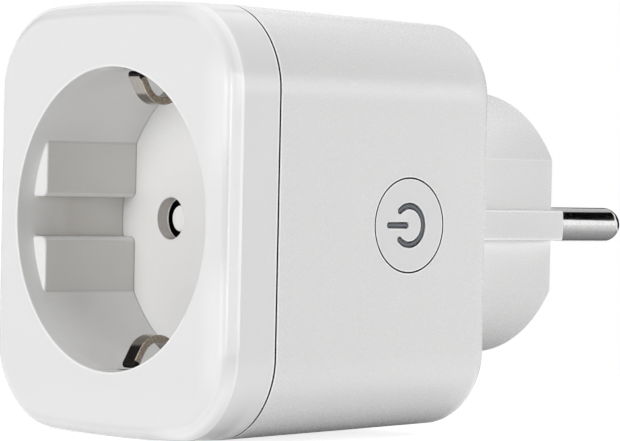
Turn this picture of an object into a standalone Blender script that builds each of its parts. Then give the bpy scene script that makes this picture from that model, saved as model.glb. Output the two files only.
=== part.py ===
"""Plug-in power meter: a socket that plugs into a wall socket, switches its load and meters it.

Every length below is in millimetres and every angle in degrees. The pieces are laid out in a
frame with its origin at the middle of the front face: X to the right, Y from the front face
towards the plug pins, Z up. The empty that carries them sets that frame down on the ground.
"""

import math

import bmesh
import bpy
from mathutils import Matrix, Vector

MM = 0.001

# Clearances
GAP = 0.3
SEAM_GAP = 0.4
SPRING_GAP = 0.25
INLAY_GAP = 0.12
FLANGE_GAP = 0.5

# Shell
WALL = 1.8
SIDE_SPACE = 1.4
END_SPACE = 5.1
CORNER_RADIUS = 10.8
LEAST_CORNER = 1.0
CROWN = 1.2
DRAFT = 1.15
FRONT_EDGE = 2.2
REAR_EDGE_INSET = 1.65
REAR_EDGE_DEPTH = 2.3
SEAM_DEPTH = 7.9
TONGUE_LENGTH = 4.4
TONGUE_WALL = 1.2
HOOK_WIDTH = 8.0
HOOK_LENGTH = 2.0
HOOK_HEIGHT = 0.8
HOOK_SETBACK = 0.6

# Socket well
MOUTH_RADIUS = 20.0
MOUTH_EDGE = 0.4
WELL_RADIUS = 19.75
WELL_WALL = 1.8
WELL_DEPTH = 18.05
FLOOR = 2.0
GUIDE_FLAT = 16.7
GUIDE_START = 2.6
GUIDE_SLOT = 5.3
PIN_PITCH = 19.0
PIN_HOLE_RADIUS = 2.82

# Shutter, its spring and the contact carrier behind the well
SHUTTER_THICK = 1.8
SHUTTER_END = 2.5
SHUTTER_WIDTH = 3.6
HUB_RADIUS = 3.6
PIVOT_RADIUS = 1.2
CARRIER_THICK = 2.6
CARRIER_LAP = 0.4
CARRIER_RIM = 1.2
POCKET_DEPTH = 1.9
SPRING_RADIUS = 2.3
SPRING_WIRE = 0.4
SPRING_PITCH = 0.9
SPRING_TURNS = 1.25

# Earth contacts of the socket
EARTH_THICK = 0.8
CLIP_THICK = 1.0
CLIP_WIDTH = 2.4
CLIP_END_REST = 0.8
CLIP_PEAK_DEPTH = 7.9
CLIP_REACH = 4.15
CLIP_BEND = 3.0
CLIP_LEAD_ANGLE = 60.0
CLIP_TAIL_ANGLE = 45.0
CLIP_ROOT_DEPTH = 15.6
CLIP_RISE = 2.2
CLIP_SIDE_ROOM = 0.5
CLIP_END_ROOM = 1.0
CLIP_WINDOW_REST = 0.2
BRIDGE_WIDTH = 5.0

# Line contacts of the socket
CONTACT_THICK = 0.6
CONTACT_HALF = 2.7
CONTACT_PINCH = 2.2
CONTACT_FLARE = 3.0
CONTACT_LEAD = 2.2
CONTACT_SPAN = 5.0
CONTACT_WIDTH = 5.2

# Main board and the bays in front of it and behind it
FRONT_BAY = 13.0
BOARD_THICK = 1.6
BOARD_MARGIN = 1.4
REAR_BAY = 4.9
POST_SIDE_INSET = 9.25
POST_END_INSET = 7.65
POST_RADIUS = 2.6
SCREW_RADIUS = 1.0
SCREW_LENGTH = 4.0
SCREW_HEAD_RADIUS = 2.1
SCREW_HEAD = 1.5

# Plug
BOSS_RADIUS = 18.35
BOSS_DEPTH = 19.1
BOSS_FLAT = 16.0
BOSS_WALL = 2.0
KEY_WIDTH = 4.1
KEY_REACH = 18.4
PIN_RADIUS = 2.4
PIN_LENGTH = 19.2
PIN_COLLAR_RADIUS = 3.3
PIN_COLLAR = 2.5
PIN_TAIL_RADIUS = 1.2
STRAP_WIDTH = 5.6
STRAP_SINK = 0.4
STRAP_START = 2.0
STRAP_END = 1.4
STRAP_LEG = 4.0
EARTH_SOCKET_HEIGHT = 10.0
EARTH_SOCKET_RADIUS = 3.2
EARTH_SOCKET_BORE = 2.5
EARTH_SOCKET_LENGTH = 11.0
VENT_RADIUS = 0.3

# Button, its legend, its switch and their board
BUTTON_RADIUS = 5.95
BUTTON_CLEARANCE = 0.25
BUTTON_FLANGE_LIP = 0.4
BUTTON_FLANGE = 1.0
STEM_RADIUS = 1.5
LEGEND_RADIUS = 2.54
LEGEND_STROKE = 0.66
LEGEND_DEPTH = 0.6
LEGEND_OPENING = 96.0
LEGEND_BAR_START = -3.95
LEGEND_BAR_END = -0.23
SWITCH_BOARD_THICK = 1.0
SWITCH_BOARD_HALF = 8.0
SWITCH_SIZE = 6.2
SWITCH_HEIGHT = 3.0
PLUNGER_RADIUS = 1.6
PLUNGER_RISE = 0.8
PLUNGER_SINK = 1.0
BUTTON_TRAVEL = 0.5
LED_SIZE = (0.8, 2.0, 1.3)
LED_HEIGHT = 5.5

# Parts on the front of the main board: size across, off the board and up, then place. The lower parts
# stand a set distance up from the lower end of the shell.
RELAY_SIZE = (15.0, 12.0, 10.5)
RELAY_PLACE = (-11.9, 10.2)
FILM_CAPACITOR_SIZE = (14.5, 11.0, 6.2)
FILM_CAPACITOR_PLACE = (11.6, 12.4)
LARGE_CAPACITOR_RADIUS = 4.0
LARGE_CAPACITOR_HEIGHT = 11.5
LARGE_CAPACITOR_X = -15.0
LARGE_CAPACITOR_RAISE = 14.45
SMALL_CAPACITOR_RADIUS = 3.15
SMALL_CAPACITOR_HEIGHT = 9.0
SMALL_CAPACITOR_X = -6.6
SMALL_CAPACITOR_RAISE = 15.45
INDUCTOR_RADIUS = 3.5
INDUCTOR_WAIST = 2.6
INDUCTOR_HEIGHT = 8.0
INDUCTOR_LIP = 1.2
INDUCTOR_X = 7.0
INDUCTOR_RAISE = 14.45
VARISTOR_RADIUS = 4.0
VARISTOR_THICK = 3.2
VARISTOR_X = 14.5
VARISTOR_RAISE = 14.95

# Parts on the back of the main board
RADIO_BOARD_SIZE = (16.0, 0.8, 15.0)
RADIO_BOARD_PLACE = (0.0, 13.5)
RADIO_SHIELD_SIZE = (12.0, 2.2, 9.0)
RADIO_SHIELD_PLACE = (0.0, 11.5)
METER_CHIP_SIZE = (10.0, 1.75, 4.0)
METER_CHIP_PLACE = (0.0, -7.0)
RECTIFIER_SIZE = (6.0, 2.5, 5.0)
RECTIFIER_PLACE = (10.0, -12.0)
FUSE_RADIUS = 1.5
FUSE_LENGTH = 8.0
FUSE_X = 0.0
FUSE_RAISE = 10.45
SHUNT_SPAN = 8.0
SHUNT_HEIGHT = 3.0
SHUNT_WIDTH = 4.0
SHUNT_PLACE = (-11.0, -12.0)

# Smoothness of round stretches
CORNER_STEPS = 8
CROWN_STEPS = 6
EDGE_STEPS = 5
WELL_STEPS = 72
FLAT_STEPS = 4
ARC_STEPS = 12
ROUND_STEPS = 40
SMALL_STEPS = 24
TIP_STEPS = 6
CAP_STEPS = 6
CLIP_STEPS = 14
COIL_STEPS = 16
WIRE_STEPS = 6
SHARP_ANGLE = 40.0

# Places along Y, from the front face to the tips of the plug pins
FLOOR_BACK = WELL_DEPTH + FLOOR
SHUTTER_FRONT = FLOOR_BACK + GAP
SHUTTER_BACK = SHUTTER_FRONT + SHUTTER_THICK
CARRIER_FRONT = SHUTTER_BACK + GAP
CARRIER_BACK = CARRIER_FRONT + CARRIER_THICK
BOARD_FRONT = CARRIER_BACK + FRONT_BAY
BOARD_BACK = BOARD_FRONT + BOARD_THICK
CAVITY_BACK = BOARD_BACK + REAR_BAY
SHELL_DEPTH = CAVITY_BACK + WALL
BOSS_END = SHELL_DEPTH + BOSS_DEPTH
BOSS_CAVITY_END = BOSS_END - BOSS_WALL
PIN_TIP = BOSS_END + PIN_LENGTH
COVER_END = SEAM_DEPTH - SEAM_GAP / 2
CASING_START = SEAM_DEPTH + SEAM_GAP / 2
TONGUE_END = COVER_END + TONGUE_LENGTH
BUTTON_FLANGE_RADIUS = BUTTON_RADIUS + BUTTON_CLEARANCE + BUTTON_FLANGE_LIP
BUTTON_DEPTH = BOARD_FRONT - GAP - BUTTON_FLANGE_RADIUS
CLIP_TAIL = CLIP_ROOT_DEPTH - CLIP_RISE

# Places across X and Z
SHELL_HALF_WIDTH = WELL_RADIUS + WELL_WALL + SIDE_SPACE + WALL
SHELL_HALF_HEIGHT = WELL_RADIUS + WELL_WALL + END_SPACE + WALL
TONGUE_INSET = WALL + GAP
EARTH_LEVEL = WELL_RADIUS + WELL_WALL + GAP + CLIP_THICK / 2
CLIP_END_LEVEL = WELL_RADIUS - CLIP_END_REST
CLIP_BEND_LEVEL = WELL_RADIUS - CLIP_REACH + CLIP_BEND
CARRIER_RADIUS = WELL_RADIUS + CARRIER_LAP
POST_X = SHELL_HALF_WIDTH - POST_SIDE_INSET
POST_Z = SHELL_HALF_HEIGHT - POST_END_INSET
SPRING_POCKET = SPRING_RADIUS + SPRING_WIRE / 2 + GAP
CONTACT_OUTSIDE = PIN_PITCH / 2 + CONTACT_FLARE + CONTACT_THICK
STRAP_TOP = BOSS_RADIUS - STRAP_SINK
STRAP_BOTTOM = STRAP_TOP - EARTH_THICK

OVERCUT = 1.0


def clear_scene():
    """Remove whatever the file already holds."""
    for item in list(bpy.data.objects):
        bpy.data.objects.remove(item, do_unlink=True)


def material(name, colour, roughness, metallic=0.0):
    """One Principled material."""
    made = bpy.data.materials.new(name)
    made.use_nodes = True
    shader = made.node_tree.nodes["Principled BSDF"]
    shader.inputs["Base Color"].default_value = (*colour, 1.0)
    shader.inputs["Roughness"].default_value = roughness
    shader.inputs["Metallic"].default_value = metallic
    made.diffuse_color = (*colour, 1.0)
    return made


def empty(name, location, parent=None):
    """An empty at a place in millimetres."""
    made = bpy.data.objects.new(name, None)
    made.location = Vector(location) * MM
    made.parent = parent
    bpy.context.collection.objects.link(made)
    return made


def piece(name, mesh_builder, finish, parent, origin=(0.0, 0.0, 0.0), smooth=False):
    """An object from a bmesh in millimetres, with its own origin and one material."""
    bmesh.ops.recalc_face_normals(mesh_builder, faces=mesh_builder.faces)
    shift = Matrix.Translation(-Vector(origin))
    mesh_builder.transform(Matrix.Scale(MM, 4) @ shift)
    mesh = bpy.data.meshes.new(name)
    mesh_builder.to_mesh(mesh)
    mesh_builder.free()
    mesh.materials.append(finish)
    if smooth:
        mesh.shade_smooth()
        mesh.set_sharp_from_angle(angle=math.radians(SHARP_ANGLE))
    made = bpy.data.objects.new(name, mesh)
    made.parent = parent
    made.location = Vector(origin) * MM
    bpy.context.collection.objects.link(made)
    return made


def combine(target, operation, name, *builders, origin=(0.0, 0.0, 0.0)):
    """Cut shapes from a piece with that origin, or join them to it, with one hidden guide object."""
    whole = bmesh.new()
    for builder in builders:
        part = bpy.data.meshes.new(name)
        bmesh.ops.recalc_face_normals(builder, faces=builder.faces)
        builder.to_mesh(part)
        builder.free()
        whole.from_mesh(part)
        bpy.data.meshes.remove(part)
    whole.transform(Matrix.Scale(MM, 4) @ Matrix.Translation(-Vector(origin)))
    mesh = bpy.data.meshes.new(name)
    whole.to_mesh(mesh)
    whole.free()
    guide = bpy.data.objects.new(name, mesh)
    guide.parent = target.parent
    guide.location = target.location
    guide.hide_render = True
    guide.display_type = "WIRE"
    bpy.context.collection.objects.link(guide)
    modifier = target.modifiers.new(name, "BOOLEAN")
    modifier.operation = operation
    modifier.solver = "EXACT"
    modifier.object = guide


def loft(rings, closed=False):
    """A skin over rings of points; a closed loft runs back to its first ring."""
    builder = bmesh.new()
    rows = [[builder.verts.new(point) for point in ring] for ring in rings]
    pairs = list(zip(rows, rows[1:]))
    if closed:
        pairs.append((rows[-1], rows[0]))
    for first, second in pairs:
        for index in range(len(first)):
            after = (index + 1) % len(first)
            builder.faces.new((first[index], second[index], second[after], first[after]))
    if not closed:
        builder.faces.new(rows[0])
        builder.faces.new(list(reversed(rows[-1])))
    return builder


def placed(axis, along, first, second):
    """A point from its distance along an axis and its two coordinates across that axis."""
    if axis == "X":
        return (along, first, second)
    if axis == "Y":
        return (first, along, second)
    return (first, second, along)


def prism(outline, axis, start, end):
    """An outline drawn across an axis and pulled along it."""
    return loft([[placed(axis, along, u, v) for u, v in outline] for along in (start, end)])


def block(x_range, y_range, z_range):
    """A box between three pairs of limits."""
    corners = [(x_range[0], z_range[0]), (x_range[1], z_range[0]), (x_range[1], z_range[1]),
               (x_range[0], z_range[1])]
    return prism(corners, "Y", *y_range)


def seated_block(size, place, seat, direction):
    """A box of a size that stands off a board, in front of it or behind it."""
    near = seat + direction * GAP
    far = near + direction * size[1]
    x_range = (place[0] - size[0] / 2, place[0] + size[0] / 2)
    z_range = (place[1] - size[2] / 2, place[1] + size[2] / 2)
    return block(x_range, (min(near, far), max(near, far)), z_range)


def circle(radius, steps, centre=(0.0, 0.0)):
    """Points round a circle."""
    turns = [2 * math.pi * index / steps for index in range(steps)]
    return [(centre[0] + radius * math.cos(turn), centre[1] + radius * math.sin(turn)) for turn in turns]


def turned(profile, axis, centre=(0.0, 0.0), steps=ROUND_STEPS, hollow=False):
    """A profile of (radius, distance along the axis) spun about that axis."""
    rings = []
    for radius, along in profile:
        rings.append([placed(axis, along, u, v) for u, v in circle(radius, steps, centre)])
    return loft(rings, closed=hollow)


def rod(radius, axis, start, end, centre=(0.0, 0.0), steps=ROUND_STEPS):
    """A plain round bar."""
    return turned([(radius, start), (radius, end)], axis, centre, steps)


def band(path, thick):
    """The outline of a strip of even thickness that follows a path of flat points."""
    left = []
    right = []
    for index, point in enumerate(path):
        here = Vector(point)
        before = here - Vector(path[index - 1]) if index else None
        after = Vector(path[index + 1]) - here if index + 1 < len(path) else None
        first = (before or after).normalized()
        second = (after or before).normalized()
        square = Vector((-first.y - second.y, first.x + second.x)).normalized()
        reach = thick / 2 / square.dot(Vector((-first.y, first.x)))
        left.append(tuple(here + square * reach))
        right.append(tuple(here - square * reach))
    return left + right[::-1]


def mirrored(outline, side):
    """An outline in Y and Z, turned over for the lower half of the part."""
    return [(u, side * v) for u, v in outline]


def taper(depth):
    """How far the drafted casing has drawn in at a depth."""
    return DRAFT * max(0.0, depth - SEAM_DEPTH) / (SHELL_DEPTH - SEAM_DEPTH)


def shell_ring(depth, inset):
    """The rounded, crowned outline of the shell at a depth, drawn in by an inset."""
    drawn = inset + taper(depth)
    half_width = SHELL_HALF_WIDTH - drawn
    half_height = SHELL_HALF_HEIGHT - drawn
    radius = max(CORNER_RADIUS - drawn, LEAST_CORNER)
    flat = half_width - radius
    points = []
    for quarter in range(4):
        side = 1 if quarter in (0, 3) else -1
        level = 1 if quarter in (0, 1) else -1
        for step in range(CORNER_STEPS + 1):
            turn = math.pi / 2 * (quarter + step / CORNER_STEPS)
            points.append((side * flat + radius * math.cos(turn),
                           level * (half_height - radius) + radius * math.sin(turn)))
        if quarter in (0, 2):
            for step in range(1, CROWN_STEPS):
                points.append((side * flat * (1 - 2 * step / CROWN_STEPS), level * half_height))
    sink = CROWN / (half_height * half_width ** 2)
    return [(x, depth, z * (1 - sink * x * x)) for x, z in points]


def chord_outline(radius, flat, slot=0.0, reach=0.0):
    """A circle with a flat on each side, where a slot or a rib may reach a radius of its own."""
    corner = math.acos(flat / radius)
    edge = math.atan2(slot / 2, flat)
    quarter = []
    if slot:
        quarter.append((reach, 0.0))
        quarter.append((math.sqrt(reach ** 2 - slot ** 2 / 4), slot / 2))
    for step in range(FLAT_STEPS):
        turn = edge + (corner - edge) * step / FLAT_STEPS
        quarter.append((flat, flat * math.tan(turn)))
    for step in range(ARC_STEPS):
        turn = corner + (math.pi / 2 - corner) * step / ARC_STEPS
        quarter.append((radius * math.cos(turn), radius * math.sin(turn)))
    half = quarter + [(0.0, radius)] + [(-x, z) for x, z in reversed(quarter[1:])]
    return half + [(-x, -z) for x, z in half]


def well_space():
    """The free space of the socket well, with the two slotted guide flats left standing."""
    guide = chord_outline(WELL_RADIUS, GUIDE_FLAT, GUIDE_SLOT, WELL_RADIUS)
    lengths = [math.hypot(x, z) for x, z in guide]
    rings = []
    for radius, depth in ((MOUTH_RADIUS, -OVERCUT), (MOUTH_RADIUS, 0.0), (WELL_RADIUS, MOUTH_EDGE),
                          (WELL_RADIUS, GUIDE_START)):
        rings.append([(x * radius / size, depth, z * radius / size) for (x, z), size in zip(guide, lengths)])
    for depth in (GUIDE_START, WELL_DEPTH):
        rings.append([(x, depth, z) for x, z in guide])
    return loft(rings)


def front_cover(frame, finish):
    """Faceplate, skirt, tongue and socket well, moulded in one."""
    rings = []
    for step in range(EDGE_STEPS + 1):
        turn = math.pi / 2 * step / EDGE_STEPS
        rings.append(shell_ring(FRONT_EDGE * (1 - math.sin(turn)), FRONT_EDGE * (1 - math.cos(turn))))
    rings.reverse()
    rings.append(shell_ring(COVER_END, 0.0))
    rings.append(shell_ring(COVER_END, TONGUE_INSET))
    rings.append(shell_ring(TONGUE_END, TONGUE_INSET))
    cover = piece("front_cover", loft(rings), finish, frame)

    hollow_inset = TONGUE_INSET + TONGUE_WALL
    hollow = loft([shell_ring(WALL, hollow_inset), shell_ring(TONGUE_END + OVERCUT, hollow_inset)])
    combine(cover, "DIFFERENCE", "cover_hollow", hollow)

    tube_radius = WELL_RADIUS + WELL_WALL
    tube = rod(tube_radius, "Y", WALL / 2, FLOOR_BACK, steps=WELL_STEPS)
    combine(cover, "UNION", "cover_well_tube", tube)

    hooks = []
    level = SHELL_HALF_HEIGHT - TONGUE_INSET
    for side in (1, -1):
        heights = sorted((side * (level - TONGUE_WALL / 2), side * (level + HOOK_HEIGHT)))
        start = TONGUE_END - HOOK_SETBACK - HOOK_LENGTH
        hooks.append(block((-HOOK_WIDTH / 2, HOOK_WIDTH / 2), (start, start + HOOK_LENGTH), heights))
    combine(cover, "UNION", "cover_hooks", *hooks)

    combine(cover, "DIFFERENCE", "cover_well_space", well_space())

    windows = []
    half = CLIP_WIDTH / 2 + CLIP_SIDE_ROOM
    for side in (1, -1):
        heights = sorted((side * (WELL_RADIUS - OVERCUT), side * (EARTH_LEVEL + OVERCUT)))
        depths = (clip_start() - CLIP_END_ROOM, CLIP_ROOT_DEPTH - CLIP_WINDOW_REST)
        windows.append(block((-half, half), depths, heights))
    combine(cover, "DIFFERENCE", "cover_clip_windows", *windows)

    holes = []
    for side in (1, -1):
        centre = (side * PIN_PITCH / 2, 0.0)
        holes.append(rod(PIN_HOLE_RADIUS, "Y", WELL_DEPTH - OVERCUT, FLOOR_BACK + OVERCUT, centre))
    combine(cover, "DIFFERENCE", "cover_pin_holes", *holes)


def rear_casing(frame, finish):
    """Casing tube, rear wall and the hollow plug boss, moulded in one."""
    rings = [shell_ring(CASING_START, 0.0)]
    for step in range(EDGE_STEPS + 1):
        turn = math.pi / 2 * step / EDGE_STEPS
        depth = SHELL_DEPTH - REAR_EDGE_DEPTH * (1 - math.sin(turn))
        rings.append(shell_ring(depth, REAR_EDGE_INSET * (1 - math.cos(turn))))
    casing = piece("rear_casing", loft(rings), finish, frame)

    boss = chord_outline(BOSS_RADIUS, BOSS_FLAT, KEY_WIDTH, KEY_REACH)
    combine(casing, "UNION", "casing_boss", prism(boss, "Y", CAVITY_BACK, BOSS_END))

    hollow = loft([shell_ring(CASING_START - OVERCUT, WALL), shell_ring(CAVITY_BACK, WALL)])
    combine(casing, "DIFFERENCE", "casing_hollow", hollow)
    inside = chord_outline(BOSS_RADIUS - BOSS_WALL, BOSS_FLAT - BOSS_WALL)
    combine(casing, "DIFFERENCE", "casing_boss_hollow",
            prism(inside, "Y", CAVITY_BACK - OVERCUT, BOSS_CAVITY_END))

    posts = [rod(POST_RADIUS, "Y", BOARD_BACK + GAP, CAVITY_BACK + WALL / 2, place, SMALL_STEPS)
             for place in post_places()]
    combine(casing, "UNION", "casing_posts", *posts)
    bores = [rod(SCREW_RADIUS + GAP, "Y", BOARD_BACK, CAVITY_BACK + GAP, place, SMALL_STEPS)
             for place in post_places()]
    combine(casing, "DIFFERENCE", "casing_screw_bores", *bores)

    hole = rod(BUTTON_RADIUS + BUTTON_CLEARANCE, "X", SHELL_HALF_WIDTH - DRAFT - WALL - OVERCUT,
               SHELL_HALF_WIDTH + OVERCUT, (BUTTON_DEPTH, 0.0))
    combine(casing, "DIFFERENCE", "casing_button_hole", hole)

    ends = [rod(PIN_RADIUS + GAP, "Y", BOSS_CAVITY_END - OVERCUT, BOSS_END + OVERCUT,
                (side * PIN_PITCH / 2, 0.0)) for side in (1, -1)]
    ends.append(rod(EARTH_SOCKET_BORE + GAP, "Y", BOSS_CAVITY_END - OVERCUT, BOSS_END + OVERCUT,
                    (0.0, EARTH_SOCKET_HEIGHT)))
    combine(casing, "DIFFERENCE", "casing_end_holes", *ends)

    grooves = []
    slots = []
    half = STRAP_WIDTH / 2 + GAP
    leg = (SHELL_DEPTH + STRAP_START - GAP, SHELL_DEPTH + STRAP_START + EARTH_THICK + GAP)
    for side in (1, -1):
        heights = sorted((side * (STRAP_BOTTOM - GAP), side * (BOSS_RADIUS + OVERCUT)))
        grooves.append(block((-half, half), (leg[0], BOSS_END - STRAP_END + GAP), heights))
        heights = sorted((side * (BOSS_RADIUS - BOSS_WALL - OVERCUT), side * STRAP_TOP))
        slots.append(block((-half, half), leg, heights))
    combine(casing, "DIFFERENCE", "casing_strap_grooves", *grooves)
    combine(casing, "DIFFERENCE", "casing_strap_slots", *slots)

    pockets = []
    level = SHELL_HALF_HEIGHT - TONGUE_INSET
    half = HOOK_WIDTH / 2 + GAP
    start = TONGUE_END - HOOK_SETBACK - HOOK_LENGTH - GAP
    for side in (1, -1):
        heights = sorted((side * (level - OVERCUT), side * (level + HOOK_HEIGHT + GAP)))
        pockets.append(block((-half, half), (start, start + HOOK_LENGTH + 2 * GAP), heights))
    combine(casing, "DIFFERENCE", "casing_hook_pockets", *pockets)


def post_places():
    """The two board posts, upper left and lower right."""
    return ((-POST_X, POST_Z), (POST_X, -POST_Z))


def shutter_group(frame, finishes):
    """Child-safety shutter on its pivot, with its spring and the carrier that holds both."""
    half = SHUTTER_WIDTH / 2
    end = PIN_PITCH / 2 + SHUTTER_END - half
    outline = []
    for side in (0.0, math.pi):
        for step in range(SMALL_STEPS + 1):
            turn = side - math.pi / 2 + math.pi * step / SMALL_STEPS
            middle = end if side == 0.0 else -end
            outline.append((middle + half * math.cos(turn), half * math.sin(turn)))
    axis = (0.0, SHUTTER_FRONT, 0.0)
    shutter = piece("shutter", prism(outline, "Y", SHUTTER_FRONT, SHUTTER_BACK),
                    finishes["shutter"], frame, axis)
    hub = rod(HUB_RADIUS, "Y", SHUTTER_FRONT, SHUTTER_BACK)
    combine(shutter, "UNION", "shutter_hub", hub, origin=axis)
    bore = rod(PIVOT_RADIUS + SPRING_GAP, "Y", SHUTTER_FRONT - OVERCUT, SHUTTER_BACK + OVERCUT)
    combine(shutter, "DIFFERENCE", "shutter_bore", bore, origin=axis)

    disc = rod(CARRIER_RADIUS, "Y", FLOOR_BACK + GAP, CARRIER_BACK, steps=WELL_STEPS)
    carrier = piece("contact_carrier", disc, finishes["carrier"], frame)
    rim = CARRIER_RADIUS - CARRIER_RIM
    pocket = CARRIER_FRONT + POCKET_DEPTH
    profile = [(PIVOT_RADIUS, FLOOR_BACK - OVERCUT), (rim, FLOOR_BACK - OVERCUT), (rim, CARRIER_FRONT),
               (SPRING_POCKET, CARRIER_FRONT), (SPRING_POCKET, pocket), (PIVOT_RADIUS, pocket)]
    room = turned(profile, "Y", steps=WELL_STEPS, hollow=True)
    combine(carrier, "DIFFERENCE", "carrier_room", room)
    holes = [rod(PIN_HOLE_RADIUS, "Y", CARRIER_FRONT - OVERCUT, CARRIER_BACK + OVERCUT,
                 (side * PIN_PITCH / 2, 0.0)) for side in (1, -1)]
    combine(carrier, "DIFFERENCE", "carrier_pin_holes", *holes)

    rings = []
    count = round(COIL_STEPS * SPRING_TURNS)
    start = CARRIER_FRONT + SPRING_GAP + SPRING_WIRE / 2
    for index in range(count + 1):
        turn = 2 * math.pi * index / COIL_STEPS
        outward = Vector((math.cos(turn), 0.0, math.sin(turn)))
        middle = outward * SPRING_RADIUS + Vector((0.0, start + SPRING_PITCH * index / COIL_STEPS, 0.0))
        rings.append([tuple(middle + outward * u + Vector((0.0, v, 0.0)))
                      for u, v in circle(SPRING_WIRE / 2, WIRE_STEPS)])
    piece("shutter_spring", loft(rings), finishes["steel"], frame, axis, smooth=True)


def clip_start():
    """Depth of the free end of an earth clip, where its lead is straight on from its bend."""
    angle = math.radians(CLIP_LEAD_ANGLE)
    bend_depth = CLIP_PEAK_DEPTH - CLIP_BEND * math.sin(angle)
    bend_level = CLIP_BEND_LEVEL - CLIP_BEND * math.cos(angle)
    return bend_depth - (CLIP_END_LEVEL - bend_level) / math.tan(angle)


def clip_path():
    """Middle line of an earth clip in Y and Z: straight lead, round bend, straight tail and root."""
    lead, tail = math.radians(CLIP_LEAD_ANGLE), math.radians(CLIP_TAIL_ANGLE)
    path = [(clip_start(), CLIP_END_LEVEL)]
    for step in range(CLIP_STEPS + 1):
        turn = (lead + tail) * step / CLIP_STEPS - lead
        depth = CLIP_PEAK_DEPTH + CLIP_BEND * math.sin(turn)
        path.append((depth, CLIP_BEND_LEVEL - CLIP_BEND * math.cos(turn)))
    depth, level = path[-1]
    level += (CLIP_TAIL - depth) * math.tan(tail)
    path.append((CLIP_TAIL, level))
    path.append(((CLIP_TAIL + CLIP_ROOT_DEPTH) / 2, (level + EARTH_LEVEL) / 2))
    path.append((CLIP_ROOT_DEPTH - CLIP_THICK / 2, EARTH_LEVEL))
    path.append((CLIP_ROOT_DEPTH, EARTH_LEVEL))
    return path


def earth_group(frame, finishes):
    """Two sprung earth clips in the well and the bridge that joins them behind it."""
    half = CLIP_WIDTH / 2
    for side, name in ((1, "socket_earth_clip_top"), (-1, "socket_earth_clip_bottom")):
        outline = mirrored(band(clip_path(), CLIP_THICK), side)
        root = (0.0, CLIP_ROOT_DEPTH, side * EARTH_LEVEL)
        piece(name, prism(outline, "X", -half, half), finishes["nickel"], frame, root)
    cross = CARRIER_BACK + GAP + EARTH_THICK / 2
    start = CLIP_ROOT_DEPTH + GAP
    path = [(start, EARTH_LEVEL), (cross, EARTH_LEVEL), (cross, -EARTH_LEVEL), (start, -EARTH_LEVEL)]
    bridge = prism(band(path, EARTH_THICK), "X", -BRIDGE_WIDTH / 2, BRIDGE_WIDTH / 2)
    piece("earth_bridge", bridge, finishes["brass"], frame)


def line_contacts(frame, finishes):
    """Forked spring contacts that take the pins of the appliance's plug."""
    front = CARRIER_BACK + GAP
    back = BOARD_FRONT - GAP - CONTACT_THICK / 2
    for side, name in ((-1, "socket_contact_left"), (1, "socket_contact_right")):
        arm = [(CONTACT_FLARE, front), (CONTACT_PINCH, front + CONTACT_LEAD),
               (CONTACT_HALF, front + CONTACT_SPAN), (CONTACT_HALF, back)]
        path = arm + [(-u, v) for u, v in reversed(arm)]
        centre = side * PIN_PITCH / 2
        outline = [(centre + u, v) for u, v in band(path, CONTACT_THICK)]
        fork = prism(outline, "Z", -CONTACT_WIDTH / 2, CONTACT_WIDTH / 2)
        piece(name, fork, finishes["brass"], frame, (centre, BOARD_FRONT, 0.0))


def plug_group(frame, finishes):
    """Plug pins, side earth straps and the earth socket in the plug boss."""
    seat = BOSS_CAVITY_END - GAP
    for side, name in ((-1, "plug_pin_left"), (1, "plug_pin_right")):
        centre = (side * PIN_PITCH / 2, 0.0)
        profile = [(PIN_TAIL_RADIUS, BOARD_BACK + GAP), (PIN_TAIL_RADIUS, seat - PIN_COLLAR),
                   (PIN_COLLAR_RADIUS, seat - PIN_COLLAR), (PIN_COLLAR_RADIUS, seat), (PIN_RADIUS, seat)]
        for step in range(TIP_STEPS):
            turn = math.pi / 2 * step / TIP_STEPS
            profile.append((PIN_RADIUS * math.cos(turn), PIN_TIP - PIN_RADIUS * (1 - math.sin(turn))))
        profile.append((PIN_RADIUS * math.cos(math.pi / 2 * (1 - 1 / (2 * TIP_STEPS))), PIN_TIP))
        pin = turned(profile, "Y", centre, SMALL_STEPS)
        piece(name, pin, finishes["nickel"], frame, (centre[0], BOSS_END, 0.0), smooth=True)

    middle = STRAP_TOP - EARTH_THICK / 2
    leg = SHELL_DEPTH + STRAP_START + EARTH_THICK / 2
    path = [(BOSS_END - STRAP_END, middle), (leg, middle), (leg, middle - STRAP_LEG)]
    for side, name in ((1, "plug_earth_strap_top"), (-1, "plug_earth_strap_bottom")):
        outline = mirrored(band(path, EARTH_THICK), side)
        strap = prism(outline, "X", -STRAP_WIDTH / 2, STRAP_WIDTH / 2)
        piece(name, strap, finishes["nickel"], frame, (0.0, leg, side * middle))

    start = seat - EARTH_SOCKET_LENGTH
    bottom = start + EARTH_THICK
    profile = [(VENT_RADIUS, start), (EARTH_SOCKET_RADIUS, start), (EARTH_SOCKET_RADIUS, seat),
               (EARTH_SOCKET_BORE, seat), (EARTH_SOCKET_BORE, bottom), (VENT_RADIUS, bottom)]
    cup = turned(profile, "Y", (0.0, EARTH_SOCKET_HEIGHT), SMALL_STEPS, hollow=True)
    piece("plug_earth_socket", cup, finishes["brass"], frame, (0.0, seat, EARTH_SOCKET_HEIGHT))


def side_face(depth):
    """X of the drafted right-hand side of the casing at a depth."""
    return SHELL_HALF_WIDTH - taper(depth)


def stroke_outline(line, half):
    """Outline of a stroke of even width with round ends, along a line of points in Y and Z."""
    edge = band(line, 2 * half)
    sides = (edge[:len(line)], edge[len(line):])
    outline = []
    for side, tip, inner in ((sides[0], line[-1], line[-2]), (sides[1], line[0], line[1])):
        outline += side
        start = math.atan2(tip[1] - inner[1], tip[0] - inner[0]) + math.pi / 2
        for step in range(1, CAP_STEPS):
            turn = start - math.pi * step / CAP_STEPS
            outline.append((tip[0] + half * math.cos(turn), tip[1] + half * math.sin(turn)))
    return outline


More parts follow.
